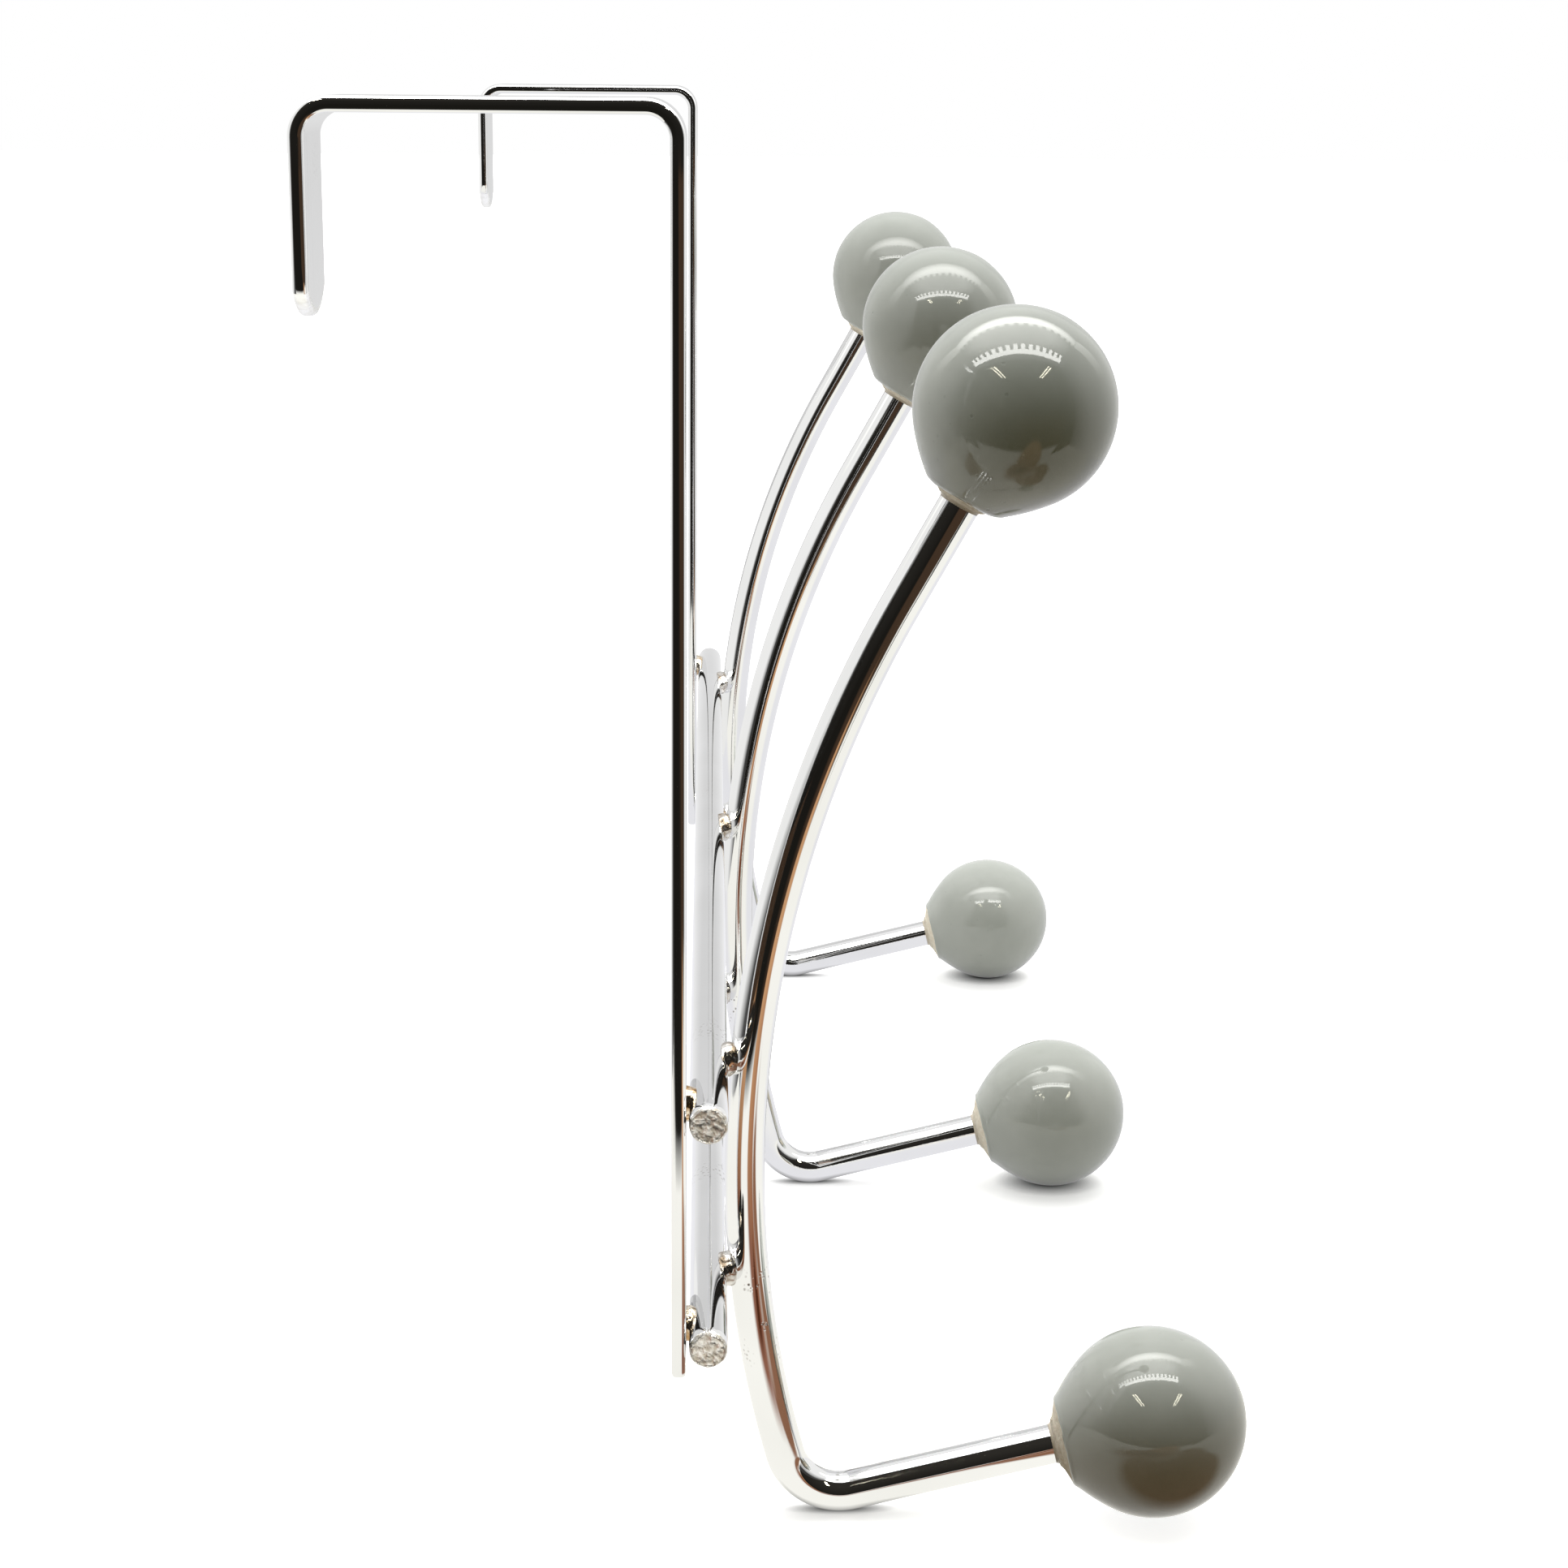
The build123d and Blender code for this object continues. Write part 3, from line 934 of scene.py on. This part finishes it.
bead_offset = add_node(
    weld_tree, "ShaderNodeVectorMath", {0: bead_normal, "Scale": bead_push}, operation="SCALE"
)
lumpy_beads = add_node(weld_tree, "GeometryNodeSetPosition", {"Geometry": real_beads, "Offset": bead_offset})
bead_parts = add_node(weld_tree, "ShaderNodeSeparateXYZ", {"Vector": bead_place})
held_y = calculate("MINIMUM", bead_parts.outputs["Y"], weld_in.outputs["Back limit"])
held_place = add_node(
    weld_tree,
    "ShaderNodeCombineXYZ",
    {"X": bead_parts.outputs["X"], "Y": held_y, "Z": bead_parts.outputs["Z"]},
)
held_beads = add_node(
    weld_tree, "GeometryNodeSetPosition", {"Geometry": lumpy_beads, "Position": held_place}
)
end_tree(weld_tree, weld_out, held_beads, weld_in.outputs["Finish"])
print("weld tree has", len(weld_tree.nodes), "nodes")

# %% Ten weld beads
HOOK_BEAD, HOOK_LUMPS = 5.6 * MM, -1.1 * MM
BRACKET_BEAD, BRACKET_LUMPS = 5.0 * MM, -0.6 * MM
WELD_GAP = 0.3 * MM
WELD_SEED = 3.0

bead_back = strip_low.y + STRIP_THICKNESS / 2  # a bead ends inside the strip, not on its back
hook_spots, bracket_spots = [], []
for bar_height in bar_heights:
    bar_centre = Vector((0, bar_y, bar_height))
    meeting = bar_centre + (sweep_centre - bar_centre).normalized() * (bar_radius + WELD_GAP / 2)
    hook_spots += [(x, meeting.y, meeting.z) for x in hook_places.values()]
    bracket_spots += [(x, strip_low.y - WELD_GAP / 2, bar_height) for x in bracket_places.values()]
for name, spots, bead, lumps, finish, node_name in (
    ("hook_weld_beads", hook_spots, HOOK_BEAD, HOOK_LUMPS, hook_weld_metal, "hook_welds"),
    ("bracket_weld_beads", bracket_spots, BRACKET_BEAD, BRACKET_LUMPS, weld_metal, "bracket_welds"),
):
    spot_mesh = bpy.data.meshes.new(f"{name}_spots")
    spot_mesh.from_pydata(spots, [], [])
    values = {"Bead diameter": bead, "Lumps": lumps, "Seed": WELD_SEED, "Back limit": bead_back}
    welds = run_tree(weld_tree, spot_mesh, {**values, "Finish": finish}, name)
    hang(welds, "chrome", node_name)
    print(welds.name, "has", len(welds.data.polygons), "faces on", len(spots), "spots")

# %% [markdown]
# ## Floor and light tent
#
# Chrome has no colour of its own: what it shows is the room. The photo was taken in a small white tent with
# two rows of lamps in its roof, an open front towards the camera and a table edge in front of it. White
# walls alone would make the wires flat and pale. So the tent is put up round the rack as plain cards that
# only glossy rays see, and their glow is painted light for the lit cloth. The floor is one card that answers
# each kind of ray in its own way. To the metal it glows: cream cloth, the brown table and painted shade
# under the rack. The camera sees white paper with the rack's shadow, deepened by painted shade where the
# rack touches it and washed out round the near lower ball by painted light. Light that bounces up from it
# is dimmer in front, where the tent is open.


# %% Cards and ovals
def put_card(name, corners, material):
    """A flat card of the stage, corners in mm."""
    mesh = bpy.data.meshes.new(name)
    mesh.from_pydata([Vector(corner) * MM for corner in corners], [], [tuple(range(len(corners)))])
    mesh.materials.append(material)
    card = place_piece(name, mesh)
    return card


def level_corners(first, second, height):
    """Corners of a level rectangle between two opposite ones."""
    (x1, y1), (x2, y2) = first, second
    return [(x1, y1, height), (x2, y1, height), (x2, y2, height), (x1, y2, height)]


def new_stage_finish(name):
    """A new material that lights nothing by itself, with an empty tree."""
    material = bpy.data.materials.new(name)
    material.use_nodes = True
    material.cycles.emission_sampling = "NONE"
    material.node_tree.nodes.clear()
    return material, material.node_tree


def oval_share(where, middle, reach, inner, outer, turn=0.0):
    """1 within inner times the reach of an oval, 0 outside outer times it. Sizes in mm."""
    tree = where.id_data
    centre = Vector((*middle, 0.0)) * MM
    turned = add_node(
        tree,
        "ShaderNodeVectorRotate",
        {"Vector": where, "Center": centre, "Angle": math.radians(-turn)},
        rotation_type="Z_AXIS",
    )
    scale = (1 / (reach[0] * MM), 1 / (reach[1] * MM), 0.0)
    shift = (-middle[0] / reach[0], -middle[1] / reach[1], 0.0)
    spot = add_node(tree, "ShaderNodeMapping", {"Vector": turned, "Scale": scale, "Location": shift})
    away = add_node(tree, "ShaderNodeVectorMath", {0: spot}, operation="LENGTH")
    return spread(away.outputs["Value"], inner, outer, 1.0, 0.0)


print("stage helpers ready")

# %% What the metal sees of the floor
CREAM, LAVENDER = (1.08, 1.07, 1.00), (0.93, 0.93, 0.96)
TABLE_BROWN, TABLE_DARK = (0.060, 0.036, 0.022), (0.012, 0.011, 0.009)
TAN, TAN_NEAR = (0.66, 0.36, 0.18), (0.29, 0.11, 0.06)
SHADE_BROWN, RED_BROWN = (0.29, 0.14, 0.08), (0.30, 0.13, 0.08)
STREAK_DARK, STREAK_PALE = (0.09, 0.025, 0.010), (0.50, 0.38, 0.31)

floor_paper, floor_tree = new_stage_finish("floor_paper")
floor_where = place_on_object(floor_tree)
floor_parts = add_node(floor_tree, "ShaderNodeSeparateXYZ", {"Vector": floor_where})


def on_floor(*oval):
    """Share of an oval of the floor."""
    return oval_share(floor_where, *oval)


def change_along(axis, start, end, first, second):
    """First colour before start on this axis of the floor, second after end, in mm."""
    share = spread(floor_parts.outputs[axis], start * MM, end * MM)
    return blend_colours(share, first, second)


outside = change_along("Y", -100, -30, TABLE_BROWN, TABLE_DARK)
cloth = change_along("X", -75, -15, CREAM, LAVENDER)
mirrored_colour = change_along("X", -300, -272, outside, cloth)
tongue_colour = change_along("X", -290, -180, TAN, TAN_NEAR)
# Ovals of colour on the floor as the metal sees it. The two SHADE_BROWN ovals are painted shade in front of
# the near lower ball.
for colour, *oval in (
    (tongue_colour, (-268, -110), (128, 38), 0.80, 1.10, 22),
    (SHADE_BROWN, (-149, -93), (27, 34), 0.85, 1.02, 8),
    (SHADE_BROWN, (-170, -118), (40, 24), 0.70, 1.10, 38),
    (RED_BROWN, (-186, -58), (42, 24), 0.55, 1.10, 22),
    (STREAK_DARK, (-187, -70), (27, 9), 0.5, 1.2, 60),
    (STREAK_PALE, (-171, -92), (28, 9), 0.5, 1.2, 68),
):
    mirrored_colour = blend_colours(on_floor(*oval), mirrored_colour, colour)
print("floor tree has", len(floor_tree.nodes), "nodes")

# %% Shade where the rack stands
CONTACT_SHADE = (0.16, 0.16, 0.16)
CROOK_IN_METAL, CROOK_ON_PAPER = ((3, 12), 0.1), ((1.8, 8), 0.2)  # reach in mm, and dark core
BALL_IN_METAL, BALL_ON_PAPER = ((12, 11), 0.2), ((7.2, 9.5), 0.3)

# Painted shade: dark ovals under the three crooks and the middle and right lower balls, on the floor as the
# metal sees it and on the paper.
contacts = [(x, crook_centre.y, CROOK_IN_METAL, CROOK_ON_PAPER) for x in hook_places.values()]
for hook in ("middle", "right"):
    contacts.append((hook_places[hook], lower_ball.y, BALL_IN_METAL, BALL_ON_PAPER))
in_contact = 0.0
for x, y, in_metal, on_paper in contacts:
    contact = (x / MM, y / MM)
    mirrored_colour = blend_colours(on_floor(contact, *in_metal, 1.0), mirrored_colour, CONTACT_SHADE)
    in_contact = calculate("MAXIMUM", in_contact, on_floor(contact, *on_paper, 1.0))
print("shade under", len(contacts), "places")

# %% Floor
FLOOR_WHITE = (0.92, 0.92, 0.92)
TABLE_SHADE, CLOTH_SHADE = (0.150, 0.102, 0.060), (0.565, 0.565, 0.545)
LIFT_BACK, LIFT_FRONT = 0.46, 0.85
FLOOR_REACH = 6000

light_path = add_node(floor_tree, "ShaderNodeLightPath")
# Painted shade: the paper turns to CONTACT_SHADE at the contacts, and its lift is cut there.
paper_with_painted_shade = blend_colours(in_contact, FLOOR_WHITE, CONTACT_SHADE)
bounced_colour = change_along("X", -140, -25, TABLE_SHADE, CLOTH_SHADE)
paper_colour = blend_colours(light_path.outputs["Is Diffuse Ray"], paper_with_painted_shade, bounced_colour)
paper = add_node(floor_tree, "ShaderNodeBsdfDiffuse", {"Color": paper_colour})
# Painted light: a stronger lift in an oval round the near lower ball washes out its shadow.
front_share = on_floor((-125, -105), (75, 60), 0.55, 1.0)
lift_strength = spread(front_share, 0.0, 1.0, LIFT_BACK, LIFT_FRONT)
no_contact = calculate("SUBTRACT", 1.0, in_contact)
lift_strength = calculate("MULTIPLY", lift_strength, no_contact)
lift_strength = calculate("MULTIPLY", light_path.outputs["Is Camera Ray"], lift_strength)
lift = add_node(floor_tree, "ShaderNodeEmission", {"Strength": lift_strength})
seen_floor = add_node(floor_tree, "ShaderNodeAddShader", {0: paper, 1: lift})
mirrored_floor = add_node(floor_tree, "ShaderNodeEmission", {"Color": mirrored_colour, "Strength": 1.0})
floor_mix = add_node(
    floor_tree,
    "ShaderNodeMixShader",
    {0: light_path.outputs["Is Glossy Ray"], 1: seen_floor, 2: mirrored_floor},
)
add_node(floor_tree, "ShaderNodeOutputMaterial", {"Surface": floor_mix})
floor_z = cad_low.z / MM
floor_corners = level_corners((-FLOOR_REACH, -FLOOR_REACH), (FLOOR_REACH, FLOOR_REACH), floor_z)
put_card("floor", floor_corners, floor_paper)
print("floor at", round(floor_z, 1), "mm")

# %% Glowing cards
ROOF_Z = 190


def glowing(name, colour, dim, bright=None, line=None, oval=None):
    """A glow for cards, even or from dim to bright along a line in mm or into the middle of an oval."""
    material, tree = new_stage_finish(name)
    where = place_on_object(tree)
    strength = dim
    if line:
        direction, start, end = line
        run = add_node(tree, "ShaderNodeVectorMath", {0: where, 1: direction}, operation="DOT_PRODUCT")
        strength = spread(run.outputs["Value"], start * MM, end * MM, dim, bright)
    if oval:
        strength = spread(oval_share(where, *oval), 0.0, 1.0, dim, bright)
    glow = add_node(tree, "ShaderNodeEmission", {"Color": (*colour, 1.0), "Strength": strength})
    add_node(tree, "ShaderNodeOutputMaterial", {"Surface": glow})
    return material


def only_in_gloss(card):
    """Seen in the metal and the glaze, and nowhere else."""
    card.visible_camera = False
    card.visible_diffuse = False
    card.visible_transmission = False
    card.visible_volume_scatter = False
    card.visible_shadow = False


def upright_corners(first, second, bottom=floor_z):
    """Corners of an upright rectangle between two places, up to the roof."""
    (x1, y1), (x2, y2) = first, second
    return [(x1, y1, bottom), (x2, y2, bottom), (x2, y2, ROOF_Z), (x1, y1, ROOF_Z)]


print("cards reach up to", ROOF_Z, "mm")

# %% Tent walls
FRONT_X, BACK_X = -238, 330
LEFT_Y, RIGHT_Y = 170, -290
OPEN_LEFT_Y, OPEN_RIGHT_Y = 85, -178
LEFT_SLANT, RIGHT_SLANT = 75, 92  # of the flaps' edges, outwards from the floor to the roof
CLOTH_WHITE, PURE_WHITE, FLAP_GREY = (1.0, 1.0, 0.985), (1.0, 1.0, 1.0), (1.0, 0.98, 0.94)
ALONG_X, UP, SLANT = (1.0, 0.0, 0.0), (0.0, 0.0, 1.0), (1.0, 0.0, 0.7)


def flap_corners(side_y, bottom_y, top_y):
    """Corners of a flap beside the open front, whose edge leans."""
    edge = [(FRONT_X, bottom_y, floor_z), (FRONT_X, top_y, ROOF_Z)]
    return [(FRONT_X, side_y, floor_z), *edge, (FRONT_X, side_y, ROOF_Z)]


# Each cloth glows as painted light for the tent's lit cloth: the flaps dim, the side walls and the roof
# dimmer towards the open front, the back wall dimmer higher up.
front_cloth = glowing("front_cloth", FLAP_GREY, 0.05, 0.25, line=(UP, -100, 190))
left_cloth = glowing("left_cloth", CLOTH_WHITE, 0.08, 1.0, line=(SLANT, -310, -160))
right_cloth = glowing("right_cloth", CLOTH_WHITE, 0.30, 1.0, line=(ALONG_X, -240, -140))
back_cloth = glowing("back_cloth", PURE_WHITE, 0.90, 0.74, line=(UP, -160, -30))
roof_cloth = glowing("roof_cloth", PURE_WHITE, 0.60, 1.0, line=(ALONG_X, FRONT_X, -200))
for name, corners, material in (
    ("left_wall", upright_corners((FRONT_X, LEFT_Y), (BACK_X, LEFT_Y)), left_cloth),
    ("right_wall", upright_corners((FRONT_X, RIGHT_Y), (BACK_X, RIGHT_Y)), right_cloth),
    ("back_wall", upright_corners((BACK_X, LEFT_Y), (BACK_X, RIGHT_Y)), back_cloth),
    ("left_flap", flap_corners(LEFT_Y, OPEN_LEFT_Y, OPEN_LEFT_Y + LEFT_SLANT), front_cloth),
    ("right_flap", flap_corners(RIGHT_Y, OPEN_RIGHT_Y, OPEN_RIGHT_Y - RIGHT_SLANT), front_cloth),
    ("roof", level_corners((FRONT_X, RIGHT_Y), (BACK_X, LEFT_Y), ROOF_Z), roof_cloth),
):
    only_in_gloss(put_card(name, corners, material))
print("tent is", BACK_X - FRONT_X, "by", LEFT_Y - RIGHT_Y, "mm")

# %% [markdown]
# The two rows of lamps in the roof give the scalloped arcs on the balls. A row repeats one lamp at an even
# pitch, so a Mesh Line with an instance on each point makes it, and a bar beside the lamps joins them. The
# cloth between the rows glows too, and two strips hang down the side walls.

# %% Lamp tree
lamp_inputs = {
    "Lamps": "Int",
    "Pitch": "Float",
    "Lamp length": "Float",
    "Lamp width": "Float",
    "Bar width": "Float",
    "Bar place": "Float",
    "Finish": "Material",
}
lamp_tree, lamp_in, lamp_out = new_tree("Lamp row", lamp_inputs)


def add_plate(length, width):
    """A flat plate in the lamp tree."""
    sizes = {"Size X": length, "Size Y": width, "Vertices X": 2, "Vertices Y": 2}
    return add_node(lamp_tree, "GeometryNodeMeshGrid", sizes)


lamp_step = add_node(lamp_tree, "ShaderNodeCombineXYZ", {"Y": lamp_in.outputs["Pitch"]})
lamp_line = add_node(
    lamp_tree, "GeometryNodeMeshLine", {"Count": lamp_in.outputs["Lamps"], "Offset": lamp_step}
)
lamp_plate = add_plate(lamp_in.outputs["Lamp length"], lamp_in.outputs["Lamp width"])
lamp_row = add_node(lamp_tree, "GeometryNodeInstanceOnPoints", {"Points": lamp_line, "Instance": lamp_plate})
bar_length = calculate("MULTIPLY", lamp_in.outputs["Lamps"], lamp_in.outputs["Pitch"])
lamp_bar = add_plate(lamp_in.outputs["Bar width"], bar_length)
row_length = calculate("SUBTRACT", bar_length, lamp_in.outputs["Pitch"])
row_middle = calculate("MULTIPLY", row_length, 0.5)
bar_place = add_node(lamp_tree, "ShaderNodeCombineXYZ", {"X": lamp_in.outputs["Bar place"], "Y": row_middle})
placed_bar = add_node(lamp_tree, "GeometryNodeTransform", {"Geometry": lamp_bar, "Translation": bar_place})
lamps_and_bar = add_node(lamp_tree, "GeometryNodeJoinGeometry", {"Geometry": lamp_row})
feed(lamps_and_bar, {"Geometry": placed_bar})
end_tree(lamp_tree, lamp_out, lamps_and_bar, lamp_in.outputs["Finish"])
print("lamp tree has", len(lamp_tree.nodes), "nodes")

# %% Two rows of lamps
LAMP_PITCH, LAMP_WIDTH = 27.4, 15
LAMP_WHITE, HALO_WHITE = (1.0, 1.0, 0.97), (1.0, 1.0, 0.98)
HALO_FRONT, HALO_BACK = -195, 35
STRIP_FRONT, STRIP_BACK, STRIP_BOTTOM = -32, 40, 30

front_glow = glowing("front_glow", LAMP_WHITE, 11.5)
back_glow = glowing("back_glow", LAMP_WHITE, 1.2, 9.0, oval=((2, -60), (62, 300), 0.25, 1.0))
for name, count, start_y, x, length, bar_width, side, glow in (
    ("front_lamps", 15, -241, -169, 28, 26, -1, front_glow),
    ("back_lamps", 17, -272, -32, 24, 76, 1, back_glow),
):
    lamp_sizes = {
        "Lamps": count,
        "Pitch": LAMP_PITCH * MM,
        "Lamp length": length * MM,
        "Lamp width": LAMP_WIDTH * MM,
        "Bar width": bar_width * MM,
        "Bar place": side * (length + bar_width) / 2 * MM,
        "Finish": glow,
    }
    row = run_tree(lamp_tree, bpy.data.meshes.new(name), lamp_sizes, name)
    row.data.transform(Matrix.Translation(Vector((x, start_y, ROOF_Z - 1)) * MM))
    only_in_gloss(row)

halo = glowing("halo", HALO_WHITE, 1.0, 3.4, oval=((-85, -60), (120, 215), 0.55, 1.0))
halo_corners = level_corners((HALO_FRONT, RIGHT_Y), (HALO_BACK, LEFT_Y), ROOF_Z - 0.5)
only_in_gloss(put_card("lamp_halo", halo_corners, halo))
strip_glow = glowing("strip_glow", LAMP_WHITE, 1.0, 3.0, line=(UP, STRIP_BOTTOM, ROOF_Z))
for name, y in (("left_strip", LEFT_Y - 1), ("right_strip", RIGHT_Y + 1)):
    strip_corners = upright_corners((STRIP_FRONT, y), (STRIP_BACK, y), STRIP_BOTTOM)
    only_in_gloss(put_card(name, strip_corners, strip_glow))
print("two rows of lamps at", LAMP_PITCH, "mm")

# %% [markdown]
# Beyond the open front lies a dark room. Two pairs of tubes under its ceiling are the small bright dashes
# on the balls. The open front also sends less light onto the balls. Cards that only diffuse light sees
# stand for that, so that the metal still shows the tent.

# %% Room lamps and the open front
TUBE_NEAR_X, TUBE_FAR_X, TUBE_Z, TUBE_HALF, TUBE_APART = -690, -1150, 870, 13, 34
SHADE_SIDE_X = -86

tube_glow = glowing("tube_glow", (1.0, 0.95, 0.75), 24.0)
for name, near_y, far_y in (("left_tubes", 490, 365), ("right_tubes", -690, -596)):
    for shift in (-TUBE_APART, TUBE_APART):
        corners = [
            (TUBE_NEAR_X, near_y + shift - TUBE_HALF, TUBE_Z),
            (TUBE_FAR_X, far_y + shift - TUBE_HALF, TUBE_Z),
            (TUBE_FAR_X, far_y + shift + TUBE_HALF, TUBE_Z),
            (TUBE_NEAR_X, near_y + shift + TUBE_HALF, TUBE_Z),
        ]
        only_in_gloss(put_card(f"{name}_{shift}", corners, tube_glow))

dark_front = glowing("dark_front", (1.0, 0.98, 0.58), 0.09)
for name, first, second in (
    ("open_front", (FRONT_X, RIGHT_Y), (FRONT_X, LEFT_Y)),
    ("left_shade", (FRONT_X, LEFT_Y), (SHADE_SIDE_X, LEFT_Y)),
    ("right_shade", (FRONT_X, RIGHT_Y), (SHADE_SIDE_X, RIGHT_Y)),
):
    shade = put_card(name, upright_corners(first, second, floor_z + 1), dark_front)
    shade.visible_camera = False
    shade.visible_glossy = False
    shade.visible_transmission = False
print("open front is", OPEN_LEFT_Y - OPEN_RIGHT_Y, "mm wide")

# %% [markdown]
# ## Light
#
# The light is the tent's own: even and white from all sides, and stronger from the lamps, which are above
# and a little behind the rack. The world gives it. To the camera the world is plain white, and in the metal
# it is the dark room beyond the tent's open front.

# %% World
TENT_GLOW, LAMP_GLOW, LAMP_SPREAD = 0.88, 3.85, 7.5
LAMP_SIDE = Vector((0.32, 0.0, 0.947))
TENT_WHITE, ROOM_BROWN, PAGE_WHITE = (1.0, 1.0, 0.995, 1.0), (1.0, 0.92, 0.78, 1.0), (1.0, 1.0, 1.0, 1.0)

world = bpy.data.worlds.new("tent_light")
bpy.context.scene.world = world
world.use_nodes = True
world_tree = world.node_tree
world_tree.nodes.clear()
world_path = add_node(world_tree, "ShaderNodeLightPath")
sky_direction = add_node(world_tree, "ShaderNodeTexCoord").outputs["Generated"]
facing_lamps = add_node(
    world_tree, "ShaderNodeVectorMath", {0: sky_direction, 1: LAMP_SIDE}, operation="DOT_PRODUCT"
).outputs["Value"]
lamp_lobe = calculate("POWER", calculate("MAXIMUM", facing_lamps, 0.0), LAMP_SPREAD)
lamp_lobe = calculate("MULTIPLY", lamp_lobe, LAMP_GLOW)
tent_strength = calculate("ADD", lamp_lobe, TENT_GLOW)
sky_height = add_node(world_tree, "ShaderNodeSeparateXYZ", {"Vector": sky_direction}).outputs["Z"]
room_strength = spread(sky_height, -0.3, 0.7, 0.008, 0.03)
even_light = add_node(world_tree, "ShaderNodeBackground", {"Color": TENT_WHITE, "Strength": tent_strength})
dark_room = add_node(world_tree, "ShaderNodeBackground", {"Color": ROOM_BROWN, "Strength": room_strength})
white_page = add_node(world_tree, "ShaderNodeBackground", {"Color": PAGE_WHITE, "Strength": 1.0})
lit_world = add_node(
    world_tree, "ShaderNodeMixShader", {0: world_path.outputs["Is Glossy Ray"], 1: even_light, 2: dark_room}
)
shown_world = add_node(
    world_tree, "ShaderNodeMixShader", {0: world_path.outputs["Is Camera Ray"], 1: lit_world, 2: white_page}
)
add_node(world_tree, "ShaderNodeOutputWorld", {"Surface": shown_world})
print("world is set")
